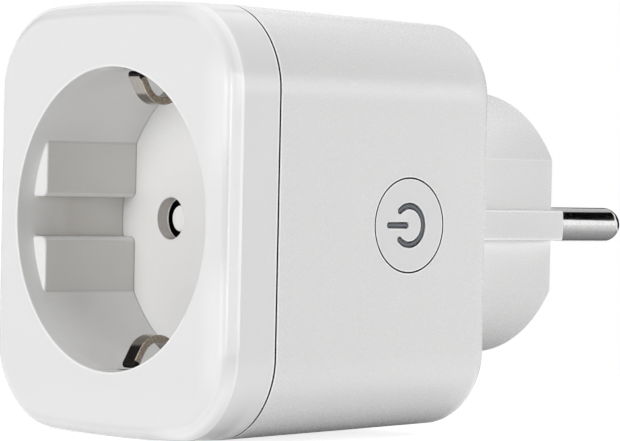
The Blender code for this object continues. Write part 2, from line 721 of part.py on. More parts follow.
def legend_ring(extra):
    """Outline in Y and Z of the open ring of the power symbol, its opening to the front."""
    half_open = math.radians(LEGEND_OPENING / 2)
    line = []
    for step in range(SMALL_STEPS + 1):
        turn = half_open - math.pi + 2 * (math.pi - half_open) * step / SMALL_STEPS
        line.append((BUTTON_DEPTH + LEGEND_RADIUS * math.cos(turn), LEGEND_RADIUS * math.sin(turn)))
    return stroke_outline(line, LEGEND_STROKE / 2 + extra)


def legend_bar(extra):
    """Outline in Y and Z of the bar of the power symbol."""
    half = LEGEND_STROKE / 2
    line = [(BUTTON_DEPTH + LEGEND_BAR_START + half, 0.0), (BUTTON_DEPTH + LEGEND_BAR_END - half, 0.0)]
    return stroke_outline(line, half + extra)


def leaned(builder):
    """Lean the outer end of a button part with the draft of the side it lies flush with."""
    for point in builder.verts:
        if point.co.x > side_face(BUTTON_DEPTH) - LEGEND_DEPTH / 2:
            point.co.x += side_face(point.co.y) - side_face(BUTTON_DEPTH)
    return builder


def button_group(frame, finishes):
    """Side button with its inlaid legend, the switch it presses and the board behind them."""
    face = side_face(BUTTON_DEPTH)
    board_inner = CONTACT_OUTSIDE + GAP
    board_outer = board_inner + SWITCH_BOARD_THICK
    switch_inner = board_outer + GAP
    switch_outer = switch_inner + SWITCH_HEIGHT
    plunger_outer = switch_outer + PLUNGER_RISE
    stem_inner = plunger_outer + GAP
    flange_outer = face - WALL - FLANGE_GAP
    flange_inner = flange_outer - BUTTON_FLANGE
    centre = (BUTTON_DEPTH, 0.0)
    origin = (face, *centre)
    axis = empty("button_axis", origin, frame)

    profile = [(STEM_RADIUS, stem_inner), (STEM_RADIUS, flange_inner), (BUTTON_FLANGE_RADIUS, flange_inner),
               (BUTTON_FLANGE_RADIUS, flange_outer), (BUTTON_RADIUS, flange_outer), (BUTTON_RADIUS, face)]
    cap = piece("power_button", leaned(turned(profile, "X", centre)), finishes["button"], axis, origin)
    cap.location = (0.0, 0.0, 0.0)
    sunk = face - LEGEND_DEPTH
    for name, outline in (("button_legend_ring", legend_ring), ("button_legend_bar", legend_bar)):
        recess = prism(outline(INLAY_GAP), "X", sunk - INLAY_GAP, face + OVERCUT)
        combine(cap, "DIFFERENCE", name + "_recess", recess, origin=origin)
        inlay = piece(name, leaned(prism(outline(0.0), "X", sunk, face)), finishes["legend"], axis, origin)
        inlay.location = (0.0, 0.0, 0.0)

    bay = (CARRIER_BACK + GAP, BOARD_FRONT - GAP)
    board = block((board_inner, board_outer), bay, (-SWITCH_BOARD_HALF, SWITCH_BOARD_HALF))
    piece("switch_board", board, finishes["board"], frame, (board_inner, bay[1], 0.0))
    half = SWITCH_SIZE / 2
    body = block((switch_inner, switch_outer), (BUTTON_DEPTH - half, BUTTON_DEPTH + half), (-half, half))
    switch = piece("switch_body", body, finishes["black"], frame)
    bottom = switch_outer - PLUNGER_SINK
    bore = rod(PLUNGER_RADIUS + GAP, "X", bottom - BUTTON_TRAVEL - GAP, switch_outer + OVERCUT, centre,
               SMALL_STEPS)
    combine(switch, "DIFFERENCE", "switch_bore", bore)
    plunger = rod(PLUNGER_RADIUS, "X", bottom, plunger_outer, centre, SMALL_STEPS)
    piece("switch_plunger", plunger, finishes["legend"], frame, (plunger_outer, *centre))
    led_half = (LED_SIZE[1] / 2, LED_SIZE[2] / 2)
    led = block((switch_inner, switch_inner + LED_SIZE[0]),
                (BUTTON_DEPTH - led_half[0], BUTTON_DEPTH + led_half[0]),
                (LED_HEIGHT - led_half[1], LED_HEIGHT + led_half[1]))
    piece("status_led", led, finishes["legend"], frame)


def raised(across, raise_):
    """A place on the main board, so far across and so far up from the lower end of the shell."""
    return (across, raise_ - SHELL_HALF_HEIGHT)


def board_group(frame, finishes):
    """Main board on its two posts, with its screws and everything soldered to it."""
    outline = [(x, z) for x, _, z in shell_ring(BOARD_FRONT, WALL + BOARD_MARGIN)]
    board = piece("main_board", prism(outline, "Y", BOARD_FRONT, BOARD_BACK), finishes["board"], frame)
    holes = [rod(SCREW_RADIUS + GAP, "Y", BOARD_FRONT - OVERCUT, BOARD_BACK + OVERCUT, place, SMALL_STEPS)
             for place in post_places()]
    combine(board, "DIFFERENCE", "board_screw_holes", *holes)
    for place, name in zip(post_places(), ("board_screw_left", "board_screw_right")):
        seat = BOARD_FRONT - GAP
        profile = [(SCREW_HEAD_RADIUS, seat - SCREW_HEAD), (SCREW_HEAD_RADIUS, seat), (SCREW_RADIUS, seat),
                   (SCREW_RADIUS, BOARD_BACK + SCREW_LENGTH)]
        piece(name, turned(profile, "Y", place, SMALL_STEPS), finishes["steel"], frame,
              (place[0], BOARD_FRONT, place[1]), smooth=True)

    blocks = (("relay", RELAY_SIZE, RELAY_PLACE, "black", -1),
              ("film_capacitor", FILM_CAPACITOR_SIZE, FILM_CAPACITOR_PLACE, "yellow", -1),
              ("radio_board", RADIO_BOARD_SIZE, RADIO_BOARD_PLACE, "board", 1),
              ("meter_chip", METER_CHIP_SIZE, METER_CHIP_PLACE, "black", 1),
              ("rectifier", RECTIFIER_SIZE, RECTIFIER_PLACE, "black", 1))
    for name, size, place, finish, direction in blocks:
        seat = BOARD_FRONT if direction < 0 else BOARD_BACK
        origin = (place[0], seat, place[1])
        piece(name, seated_block(size, place, seat, direction), finishes[finish], frame, origin)
    radio_seat = BOARD_BACK + GAP + RADIO_BOARD_SIZE[1]
    piece("radio_shield", seated_block(RADIO_SHIELD_SIZE, RADIO_SHIELD_PLACE, radio_seat, 1),
          finishes["steel"], frame)

    seat = BOARD_FRONT - GAP
    cans = (("large_capacitor", LARGE_CAPACITOR_RADIUS, LARGE_CAPACITOR_HEIGHT,
             raised(LARGE_CAPACITOR_X, LARGE_CAPACITOR_RAISE)),
            ("small_capacitor", SMALL_CAPACITOR_RADIUS, SMALL_CAPACITOR_HEIGHT,
             raised(SMALL_CAPACITOR_X, SMALL_CAPACITOR_RAISE)))
    for name, radius, height, place in cans:
        piece(name, rod(radius, "Y", seat - height, seat, place, SMALL_STEPS), finishes["black"], frame,
              (place[0], seat, place[1]), smooth=True)
    top = seat - INDUCTOR_HEIGHT
    waist = (top + INDUCTOR_LIP, seat - INDUCTOR_LIP)
    drum = [(INDUCTOR_RADIUS, top), (INDUCTOR_RADIUS, waist[0]), (INDUCTOR_WAIST, waist[0]),
            (INDUCTOR_WAIST, waist[1]), (INDUCTOR_RADIUS, waist[1]), (INDUCTOR_RADIUS, seat)]
    spool = turned(drum, "Y", raised(INDUCTOR_X, INDUCTOR_RAISE), SMALL_STEPS)
    piece("inductor", spool, finishes["black"], frame, smooth=True)
    disc_x, disc_z = raised(VARISTOR_X, VARISTOR_RAISE)
    disc = rod(VARISTOR_RADIUS, "X", disc_x - VARISTOR_THICK / 2, disc_x + VARISTOR_THICK / 2,
               (seat - VARISTOR_RADIUS, disc_z), SMALL_STEPS)
    piece("varistor", disc, finishes["blue"], frame, smooth=True)

    seat = BOARD_BACK + GAP
    fuse_x, fuse_z = raised(FUSE_X, FUSE_RAISE)
    fuse = rod(FUSE_RADIUS, "X", fuse_x - FUSE_LENGTH / 2, fuse_x + FUSE_LENGTH / 2,
               (seat + FUSE_RADIUS, fuse_z), SMALL_STEPS)
    piece("fuse_resistor", fuse, finishes["blue"], frame, smooth=True)
    half = SHUNT_SPAN / 2
    path = [(-half, seat), (-half, seat + SHUNT_HEIGHT), (half, seat + SHUNT_HEIGHT), (half, seat)]
    outline = [(SHUNT_PLACE[0] + u, v) for u, v in band(path, EARTH_THICK)]
    shunt = prism(outline, "Z", SHUNT_PLACE[1] - SHUNT_WIDTH / 2, SHUNT_PLACE[1] + SHUNT_WIDTH / 2)
    piece("current_shunt", shunt, finishes["brass"], frame)


def make_finishes():
    """Materials of the part, by what they are."""
    return {
        "cover": material("glossy white moulding", (0.82, 0.82, 0.81), 0.28),
        "casing": material("matt white moulding", (0.78, 0.78, 0.77), 0.5),
        "button": material("button white", (0.78, 0.78, 0.77), 0.5),
        "legend": material("grey translucent", (0.19, 0.21, 0.24), 0.4),
        "shutter": material("shutter white", (0.88, 0.88, 0.87), 0.35),
        "carrier": material("black moulding", (0.02, 0.02, 0.022), 0.5),
        "black": material("component black", (0.03, 0.03, 0.03), 0.45),
        "board": material("circuit board green", (0.03, 0.16, 0.08), 0.45),
        "yellow": material("film capacitor yellow", (0.75, 0.55, 0.08), 0.4),
        "blue": material("varistor blue", (0.05, 0.15, 0.45), 0.4),
        "nickel": material("nickel plate", (0.62, 0.60, 0.57), 0.25, 1.0),
        "brass": material("brass", (0.72, 0.52, 0.22), 0.3, 1.0),
        "steel": material("zinc steel", (0.55, 0.56, 0.58), 0.35, 1.0),
    }


def main():
    """Build every piece under the empty that sets the part down."""
    clear_scene()
    finishes = make_finishes()
    frame = empty("meter_frame", (0.0, -PIN_TIP / 2, SHELL_HALF_HEIGHT))
    front_cover(frame, finishes["cover"])
    rear_casing(frame, finishes["casing"])
    shutter_group(frame, finishes)
    earth_group(frame, finishes)
    line_contacts(frame, finishes)
    plug_group(frame, finishes)
    button_group(frame, finishes)
    board_group(frame, finishes)


if __name__ == "__main__":
    main()
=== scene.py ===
"""Looks of a plug-in power meter: its mouldings, contacts, finishes, stage and camera.

The file is laid out as an add-on and run as a script. Shapes are worked out in a frame with its
origin at the middle of the front face: X to the right, Y from the front face towards the plug
pins, Z up. Lengths are in metres.
"""

import math

import bmesh
import bpy
import numpy as np
from mathutils import Matrix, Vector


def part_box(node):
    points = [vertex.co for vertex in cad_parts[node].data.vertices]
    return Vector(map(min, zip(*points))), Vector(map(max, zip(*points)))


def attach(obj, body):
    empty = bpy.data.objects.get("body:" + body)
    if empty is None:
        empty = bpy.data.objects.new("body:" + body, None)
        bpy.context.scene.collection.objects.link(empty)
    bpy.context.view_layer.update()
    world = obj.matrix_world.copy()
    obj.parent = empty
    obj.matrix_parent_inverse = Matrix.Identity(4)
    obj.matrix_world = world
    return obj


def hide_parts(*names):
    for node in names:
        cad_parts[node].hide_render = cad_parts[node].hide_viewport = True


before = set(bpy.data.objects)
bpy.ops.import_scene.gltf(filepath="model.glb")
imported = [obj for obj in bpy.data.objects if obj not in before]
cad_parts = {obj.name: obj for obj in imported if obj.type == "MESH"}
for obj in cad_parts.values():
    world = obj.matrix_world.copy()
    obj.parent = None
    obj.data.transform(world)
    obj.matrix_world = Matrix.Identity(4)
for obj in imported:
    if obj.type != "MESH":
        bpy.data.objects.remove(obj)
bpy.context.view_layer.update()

bl_info = {
    "name": "Plug-in power meter",
    "version": (1, 0, 0),
    "blender": (4, 5, 0),
    "location": "3D View > Sidebar > Meter",
    "description": "Builds the visible mouldings, contacts, finishes and stage of a plug-in power meter",
    "category": "Object",
}

MM = 0.001

# Where the part lies, from its solids
COVER_LOW, COVER_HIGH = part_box("front_cover")
HALF_WIDTH = COVER_HIGH.x
HALF_HEIGHT = (COVER_HIGH.z - COVER_LOW.z) / 2
ORIGIN = np.array((0.0, COVER_LOW.y, COVER_LOW.z + HALF_HEIGHT))
PIN_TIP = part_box("plug_pin_right")[1].y - ORIGIN[1]
BOSS_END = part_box("rear_casing")[1].y - ORIGIN[1]
TONGUE_END = 12.1 * MM

# Shell, as in the solids
WALL = 1.8 * MM
CORNER_RADIUS = 10.8 * MM
CROWN = 1.2 * MM
DRAFT = 1.15 * MM
SEAM_DEPTH = 7.9 * MM
SEAM_LINE = 7.93 * MM
SEAM_GAP = 0.26 * MM
COVER_END = SEAM_LINE - SEAM_GAP / 2
CASING_START = SEAM_LINE + SEAM_GAP / 2
SHELL_DEPTH = 46.35 * MM
REAR_EDGE_INSET = 1.65 * MM
REAR_EDGE_DEPTH = 2.3 * MM
CAVITY_BACK = SHELL_DEPTH - WALL
TONGUE_INSET = 2.1 * MM
TONGUE_WALL = 1.2 * MM

# Socket well
MOUTH_RADIUS = 20.0 * MM
WELL_RADIUS = 19.75 * MM
WELL_WALL = 1.8 * MM
WELL_DEPTH = 18.05 * MM
FLOOR_BACK = 20.05 * MM
GUIDE_FLAT = 17.0 * MM
GUIDE_START = 2.6 * MM
GUIDE_SLOT = 5.3 * MM
PIN_PITCH = 19.0 * MM
PIN_HOLE_RADIUS = 2.82 * MM
WINDOW_HALF = 1.7 * MM
WINDOW_FRONT = 3.23 * MM
WINDOW_BACK = 15.4 * MM

# Shutter
SHUTTER_FRONT = 20.35 * MM
SHUTTER_BACK = 22.15 * MM
SHUTTER_END = 12.0 * MM
SHUTTER_HALF = 1.8 * MM
HUB_RADIUS = 3.6 * MM
SHUTTER_BORE = 1.45 * MM

# Earth clips and straps
STRIP_HALF = 0.4 * MM
CLIP_THICK_HALF = 0.5 * MM
CLIP_HALF = 1.2 * MM
CLIP_PEAK = 7.9 * MM
CLIP_BEND = 3.0 * MM
CLIP_BEND_LEVEL = 18.6 * MM
CLIP_END_LEVEL = 19.4 * MM
CLIP_LEAD = math.radians(60.0)
CLIP_SLOPE = math.radians(45.0)
CLIP_START = 3.974 * MM
CLIP_TAIL = 13.4 * MM
CLIP_ROOT = 15.6 * MM
EARTH_LEVEL = 22.35 * MM
STRAP_HALF = 2.8 * MM
STRAP_LEVEL = 17.55 * MM
STRAP_FRONT = 48.75 * MM
STRAP_BACK = 64.05 * MM
STRAP_LEG = 4.0 * MM

# Plug
BOSS_RADIUS = 18.35 * MM
BOSS_FLAT = 16.0 * MM
BOSS_WALL = 2.0 * MM
BOSS_CAVITY_END = BOSS_END - BOSS_WALL
KEY_HALF = 2.05 * MM
KEY_REACH = 18.4 * MM
GROOVE_HALF = 3.1 * MM
GROOVE_FLOOR = 16.85 * MM
GROOVE_FRONT = 48.05 * MM
GROOVE_BACK = 64.35 * MM
LEG_SLOT_BACK = 49.45 * MM
PIN_RADIUS = 2.4 * MM
PIN_HOLE_GAP = 0.3 * MM
PIN_TAIL_RADIUS = 1.2 * MM
PIN_TAIL_START = 39.95 * MM
PIN_COLLAR_RADIUS = 3.3 * MM
PIN_COLLAR = 2.5 * MM
PIN_SEAT = BOSS_CAVITY_END - PIN_HOLE_GAP
EARTH_SOCKET_HEIGHT = 10.0 * MM
EARTH_SOCKET_RADIUS = 3.2 * MM
EARTH_SOCKET_BORE = 2.5 * MM
EARTH_SOCKET_LENGTH = 11.0 * MM
EARTH_SOCKET_WALL = 0.8 * MM
EARTH_SOCKET_VENT = 0.3 * MM
END_FACE_JOIN = 3.0 * MM
END_FACE_SPREAD = math.radians(35.0)

# Button
BUTTON_DEPTH = 31.15 * MM
BUTTON_RADIUS = 6.09 * MM
BUTTON_HOLE = 6.29 * MM
BUTTON_FACE = BUTTON_RADIUS * 0.8
BUTTON_PATCH = 7.6 * MM
BUTTON_PATCH_TURN = 0.34
FLANGE_RADIUS = 6.6 * MM
FLANGE_SETBACK = 2.3 * MM
FLANGE_THICK = 1.0 * MM
STEM_RADIUS = 1.5 * MM
STEM_END = 18.8 * MM
LEGEND_RADIUS = 2.54 * MM
LEGEND_HALF = 0.33 * MM
LEGEND_OPENING = math.radians(96.0)
LEGEND_BAR = (-3.62 * MM, -0.56 * MM)
LEGEND_DEPTH = 0.6 * MM
LEGEND_GAP = 0.12 * MM

# Roundings and rests that show little
GUIDE_CORNERS = (0.3 * MM, 1.0 * MM, 0.5 * MM)
KEY_CORNERS = (0.3 * MM, 0.25 * MM, 0.3 * MM)
SHUTTER_EDGE = 0.3 * MM
CLIP_KNEE = 0.3 * MM
STRAP_KNEE = 0.45 * MM
LEGEND_EDGE = 0.08 * MM
RECESS_EDGE = 0.01 * MM
EDGE_REST = 0.3 * MM
FLOOR_REST = 0.4 * MM
TUBE_ROOM = 0.1 * MM

# Fineness
ROUND_STEPS = 96
SMALL_STEPS = 48
EDGE_STEPS = 6
CAP_STEPS = 9
BEND_STEPS = 28
LEGEND_STEPS = 49
PATCH_STEPS = 13
FLOOR_STEPS = 26
JOIN_STEPS = 12
RUN_STEPS = 8
SHORT_STEPS = 5
FLAT_STEPS = 18
ARC_STEPS = 44
RIM_STEPS = 9
NEARING = (0.45, 0.12)
SLIVER = 0.03 * MM
MERGE = 0.0005 * MM
SHARP = math.radians(34.0)
TINY = 1e-9

# Places of the painted highlights and painted shade on the mouldings, in millimetres from the middle of the
# front face.
# Four numbers say where a tone starts, is full, fades and ends, two say where it starts and is full, or its
# middle and half width, and one is a limit, a margin or a half width.
HAIR = 0.01
SIDE_ACROSS = (14.0, 20.0)
SIDE_DEPTH = (1.4, 2.4, 42.0, 46.0)
UPPER_BAND = (15.8, 17.4, 17.6, 19.4)
UPPER_ROLL = (18.0, 20.0, 23.5, 27.0)
UPPER_EDGE = (24.8, 27.6)
LOWER_BAND = (-27.2, -25.6, -24.2, -21.5)
LOWER_EDGE = (-28.4, -26.8)
SEAM_ROOM = 0.4
SEAM_BRIGHT = 0.24
FACE_SKIN = 0.2
WALL_SKIN = 0.4
FLOOR_RIM = 1.0
GUIDE_ROUND = 0.35
GUIDE_SKIN = 0.12
GUIDE_SIDE = 0.5
GUIDE_END = 0.1
GUIDE_LINE = 0.25
SLOT_SHADE = (-1.0, 4.0)
GUIDE_CREASE = 0.16
SLOT_CREASE = 0.14
FLOOR_CREASE = 0.22
HOLE_START = 0.08
HOLE_RIM = 0.22
MOUTH_LINE = (0.08, 0.1)
MOUTH_FACE = 0.03
MOUTH_ACROSS = 16.0
FACE_ACROSS = (18.0, 22.0)
FACE_HEIGHT = (3.0, 10.0, 18.0, 23.0)
ROLL_REACH = 21.0
ROLL_START = (0.02, 0.2)
ROLL_DIP = (0.02, 0.08, 0.2, 0.32)
ROLL_LINE = (1.7, 0.18)
ROLL_LINE_HEIGHT = (14.0, 20.0)
CORNER_ACROSS = (8.0, 15.0)
CORNER_HEIGHT = (13.0, 18.0)
LOW_CORNER_HEIGHT = (-22.0, -15.0)
LOW_CORNER_ROLL = (0.3, 0.7)
LOW_CORNER_END = (1.5, 1.9)
HIGH_CORNER_ACROSS = (12.0, 18.0)
HIGH_CORNER_HEIGHT = (13.0, 19.0)
HIGH_CORNER_ROLL = (0.8, 1.2)
HIGH_CORNER_END = (1.7, 2.0)
COVER_FOOT_DEPTH = (1.6, 2.4, 4.5, 6.5)
COVER_FOOT_HEIGHT = (-27.4, -22.0)
BOSS_ROOM = 0.1
BOSS_SHOULDER = (8.0, 18.0)
BOSS_SIDE = 0.3
BOSS_LINE = 0.1
KEY_SIDE = 0.6
KEY_LINE = (0.12, 0.14)
BUTTON_LINE = 0.16
HALO = (0.52, 0.1)
HALO_END = 0.3

# Colours of the tones: painted shade in the well and on what stands in it and in the deep gaps, white for
# painted highlights
WELL_TONE = (0.975, 0.972, 0.966)
GUIDE_TONE = (0.885, 0.868, 0.845)
SLOT_TONE = (0.85, 0.83, 0.80)
GUIDE_CREASE_TONE = (0.84, 0.83, 0.82)
CREASE_TONE = (0.76, 0.75, 0.74)
HOLE_TONE = (0.70, 0.66, 0.62)
GAP_SHADE = (0.055, 0.047, 0.041, 1.0)
BRIGHT = (1.0, 1.0, 1.0, 1.0)
BLACK = (0.0, 0.0, 0.0, 1.0)
BRONZE = ((0.24, 0.2, 0.16, 1.0), (0.54, 0.46, 0.38, 1.0))
# A painted dark reflection on the free ends of the clips
CLIP_END_DARK_REFLECTION = (0.02, 0.019, 0.018, 1.0)
CLIP_END_SPREAD = 0.4
BOARD_TRACK = (0.035, 0.17, 0.075, 1.0)
BOARD_FIELD = (0.02, 0.10, 0.045, 1.0)

# Lights that don't show in gloss: name, brightness, place (azimuth, elevation, distance) and size
LAMPS = (
    ("front_light", "key", (6.0, 11.0, 1.0), (0.6, 0.45)),
    ("back_light", "back", (135.0, 6.0, 1.0), (0.6, 0.22)),
    ("rear_light", "rear", (-115.0, 6.0, 1.0), (0.6, 0.22)),
    ("top_light", "top", (-90.0, 79.0, 1.0), (0.9, 0.7)))

# Lights that only show in the rolled edge: name, height of the aim, azimuth, size and share of the brightness
EDGE_LIGHTS = (
    ("edge_panel_upper", 0.025, 2.0, (0.19, 0.03), 0.8),
    ("edge_panel_lower", -0.025, 2.0, (0.19, 0.03), 0.8),
    ("edge_strip_front", 0.03, 25.0, (0.012, 0.11), 1.4),
    ("edge_panel", 0.03, 67.0, (0.33, 0.11), 1.0),
    ("edge_strip_back", 0.03, 113.0, (0.02, 0.11), 1.6))
EDGE_LIGHT_DISTANCE = 0.16
TIP_AIM = 0.05

# Cards that only show in gloss: name, aim, place, roll, size and glow at their two ends
CARDS = (
    ("pin_card", "pin", (153.0, 42.5, 0.06), -55.5, (0.036, 0.048), (0.0, 0.0)),
    ("tip_card", "pin", (200.0, 8.0, 0.15), 0.0, (0.18, 0.092), (0.0, 0.0)),
    ("top_card", "pin", (208.0, 41.0, 0.2), 0.0, (0.14, 0.1), (0.55, 0.55)),
    ("low_card", "pin", (131.5, -14.0, 0.05), 90.0, (0.023, 0.055), (0.5, 0.85)),
    ("under_card", "tip", (180.0, -90.0, 0.026), 0.0, (0.07, 0.12), (0.5, 0.05)),
    ("clip_card", "well", (-67.0, 34.0, 0.3), 0.0, (0.26, 0.2), (0.025, 0.025)))

# Floor: its rings, where it turns as white as the surround, and how brightly it shows and mirrors
FLOOR_RINGS = (0.001, 0.1, 0.5, 4.0)
FLOOR_FADE = (0.06, 0.16)
FLOOR_TONE = (0.7, 0.7, 0.7, 1.0)
FLOOR_GLOW = 0.8
FLOOR_FRONT = (3.0, 12.0)
FLOOR_CLEAR = (0.0, 3.5)

# The photograph's frame, and how its camera looks past the part
IMAGE_WIDTH = 620
FOCAL_PIXELS = 3617.84
SENSOR = 36.0
CAMERA_AIM = 25.0 * MM
CAMERA_RANGE = (0.01, 50.0)
LOOK_TURN = math.radians(-0.87700)
LOOK_RISE = math.radians(-0.01893)
CAMERA_ROLL = math.radians(1.21158)


# Properties

def length_choice(name, millimetres, description):
    """A length that a user may change."""
    return bpy.props.FloatProperty(name=name, description=description, default=millimetres * MM, min=0.0,
                                   unit="LENGTH", precision=5)


def colour_choice(name, colour, description):
    """A colour that a user may change."""
    return bpy.props.FloatVectorProperty(name=name, description=description, default=colour, min=0.0, max=1.0,
                                         size=3, subtype="COLOR")


def level_choice(name, level, description):
    """A brightness that a user may change."""
    return bpy.props.FloatProperty(name=name, description=description, default=level, min=0.0)


def angle_choice(name, degrees, description):
    """An angle that a user may change."""
    return bpy.props.FloatProperty(name=name, description=description, default=math.radians(degrees),
                                   subtype="ANGLE")


class MeterShape(bpy.types.PropertyGroup):
    """Roundings that the solids leave plain."""

    front_inset: length_choice("Front rounding, inward", 2.2,
                               "How far in from the side the front face starts to roll away")
    front_depth: length_choice("Front rounding, depth", 2.2,
                               "How far back the roll of the front face ends on the side")
    mouth_edge: length_choice("Mouth edge", 0.12,
                              "Depth of the rounding where the front face turns into the well")
    rib_edge: length_choice("Guide edge", 0.3, "Radius of the edges of the guides in the well")
    hole_edge: length_choice("Pin hole edge", 0.2,
                             "Radius of the edge of the pin holes in the floor of the well")
    seam_edge: length_choice("Seam edge", 0.05, "Radius of the two edges along the seam")
    boss_edge: length_choice("Boss edge", 0.2, "Radius of the end edge of the plug boss")
    button_edge: length_choice("Button edge", 0.04,
                               "Radius of the edges on both sides of the gap round the button")
    strip_edge: length_choice("Strip edge", 0.12, "Radius of the long edges of the earth strips")
    legend_sink: length_choice("Legend sink", 0.1, "How far the legend lies below the face of the button")


class MeterColours(bpy.types.PropertyGroup):
    """Colours of the finishes."""

    cover: colour_choice("Cover", (0.82, 0.82, 0.82), "Glossy white of the front cover")
    casing: colour_choice("Casing", (0.80, 0.80, 0.797), "Matt white of the casing and the plug boss")
    button: colour_choice("Button", (0.785, 0.785, 0.785), "White of the button cap")
    legend: colour_choice("Legend", (0.125, 0.138, 0.158), "Grey of the power symbol")
    shutter: colour_choice("Shutter", (0.93, 0.93, 0.925), "White of the shutter behind the pin holes")
    nickel: colour_choice("Nickel", (0.88, 0.878, 0.87), "Plating of the pins and straps")
    clip: colour_choice("Clip", (0.315, 0.292, 0.265), "Dull plating of the earth clips in the well")
    brass: colour_choice("Brass", (0.72, 0.52, 0.22), "Contacts inside")


class MeterStage(bpy.types.PropertyGroup):
    """Light and camera."""

    key: level_choice("Front light", 6.85, "Brightness of the large light in front")
    back: level_choice("Back light", 15.0, "Brightness of the light behind on the right")
    rear: level_choice("Rear light", 6.0, "Brightness of the light behind on the left")
    top: level_choice("Top light", 4.1, "Brightness of the light above")
    edge: level_choice("Edge lights", 3.2, "Brightness of the strips mirrored in the front rounding")
    bounce: level_choice("Floor light", 0.12,
                         "How bright the floor beside the part is where it lights the part")
    azimuth: angle_choice("Camera turn", 49.6689, "How far round from the front the camera stands")
    elevation: angle_choice("Camera rise", 0.8476, "How far above level the camera stands")
    distance: length_choice("Camera distance", 487.445,
                            "How far from the middle of the shell the camera stands")


def shape():
    """The roundings as they are set now."""
    return bpy.context.scene.meter_shape


def colours():
    """The colours as they are set now."""
    return bpy.context.scene.meter_colours


# Outlines across the depth of the part, as rows of (x, z)

def span(start, end, count):
    """Evenly spaced points from one point to another, both included."""
    share = np.linspace(0.0, 1.0, count)[:, None]
    return (1 - share) * np.asarray(start, float) + share * np.asarray(end, float)


def arc(radius, start, end, count, centre=(0.0, 0.0)):
    """Points of a circle, evenly spaced in angle from start to end."""
    turn = np.linspace(start, end, count)
    return np.stack([np.cos(turn), np.sin(turn)], -1) * radius + np.asarray(centre, float)


def corner_arc(corner, before, after, radius, count):
    """A corner rounded off: the arc of a radius that touches the lines to the points before and after.

    Its ends lie radius / tan(half the corner's angle) from the corner. Between them the points turn
    evenly: a weight sin((1 - t) a) / sin(a) on the first end and sin(t a) / sin(a) on the last."""
    corner, before, after = (np.asarray(point, float) for point in (corner, before, after))
    first = (before - corner) / np.linalg.norm(before - corner)
    last = (after - corner) / np.linalg.norm(after - corner)
    half = np.arccos(np.clip(first @ last, -1.0, 1.0)) / 2
    middle = corner + (first + last) / np.linalg.norm(first + last) * radius / np.sin(half)
    start = corner + first * radius / np.tan(half) - middle
    end = corner + last * radius / np.tan(half) - middle
    whole = np.pi - 2 * half
    share = np.linspace(0.0, 1.0, count)[:, None]
    return middle + (np.sin((1 - share) * whole) * start + np.sin(share * whole) * end) / np.sin(whole)


def turn_of(points):
    """Angle of points about the middle, from +x towards +z."""
    return np.arctan2(points[..., 1], points[..., 0])


def along_circle(point, way):
    """A point a step further along the circle through a point: the tangent is square to the radius."""
    return point + way * np.array((-point[1], point[0]))


def whole_loop(quarter):
    """A closed loop from its first quarter, mirrored in x and then turned by half a turn."""
    half = np.concatenate([quarter, (quarter * (-1.0, 1.0))[-2:0:-1]])
    return np.concatenate([half, -half])


def notched_quarter(radius, flat, notch, reach, corner_radii, last_turn, last_count):
    """First quarter of a circle with a flat at its side, where a slot or rib of half width notch goes out to
    a radius reach. The three corners are rounded, and the last stretch of the circle starts at last_turn."""
    foot = np.array((math.sqrt(reach ** 2 - notch ** 2), notch))
    lip = np.array((flat, notch))
    top = np.array((flat, math.sqrt(radius ** 2 - flat ** 2)))
    first = corner_arc(foot, along_circle(foot, -1), lip, corner_radii[0], EDGE_STEPS)
    second = corner_arc(lip, foot, top, corner_radii[1], EDGE_STEPS)
    third = corner_arc(top, lip, along_circle(top, 1), corner_radii[2], EDGE_STEPS)
    return np.concatenate([
        arc(reach, 0.0, turn_of(first[0]), RUN_STEPS)[:-1], first,
        span(first[-1], second[0], SHORT_STEPS)[1:-1], second,
        span(second[-1], third[0], FLAT_STEPS)[1:-1], third,
        arc(radius, turn_of(third[-1]), last_turn, ARC_STEPS)[1:],
        arc(radius, last_turn, np.pi / 2, last_count)[1:]])


def outward(loop):
    """Unit normals of a closed loop that runs from +x towards +z: its chord's run turned by a quarter."""
    run = np.roll(loop, -1, 0) - np.roll(loop, 1, 0)
    return np.stack([run[:, 1], -run[:, 0]], -1) / np.linalg.norm(run, axis=1)[:, None]


def quarter_round(count=EDGE_STEPS):
    """Steps round an edge: how far each has come, 1 - cos t, and how far it has to go, 1 - sin t."""
    turn = np.linspace(0.0, np.pi / 2, count)
    return list(zip(1 - np.cos(turn), 1 - np.sin(turn)))


def full_turn(count=ROUND_STEPS):
    """Angles of a full turn, evenly spaced."""
    return np.linspace(0.0, 2 * np.pi, count, endpoint=False)


# Rows of points in space

def at_depth(loop, depth):
    """A loop of (x, z) set at one depth."""
    return np.stack([loop[:, 0], np.full(len(loop), depth), loop[:, 1]], -1)


def circle_row(turns, radius, depth):
    """A circle at given turns and one depth; the radius may differ from turn to turn."""
    return at_depth(np.stack([np.cos(turns), np.sin(turns)], -1) * np.reshape(radius, (-1, 1)), depth)


def taper(depth):
    """How far the drafted casing has drawn in at a depth: even from the seam to the rear face."""
    return DRAFT * np.maximum(0.0, depth - SEAM_DEPTH) / (SHELL_DEPTH - SEAM_DEPTH)


def side_face(depth):
    """X of the drafted right-hand side at a depth."""
    return HALF_WIDTH - taper(depth)


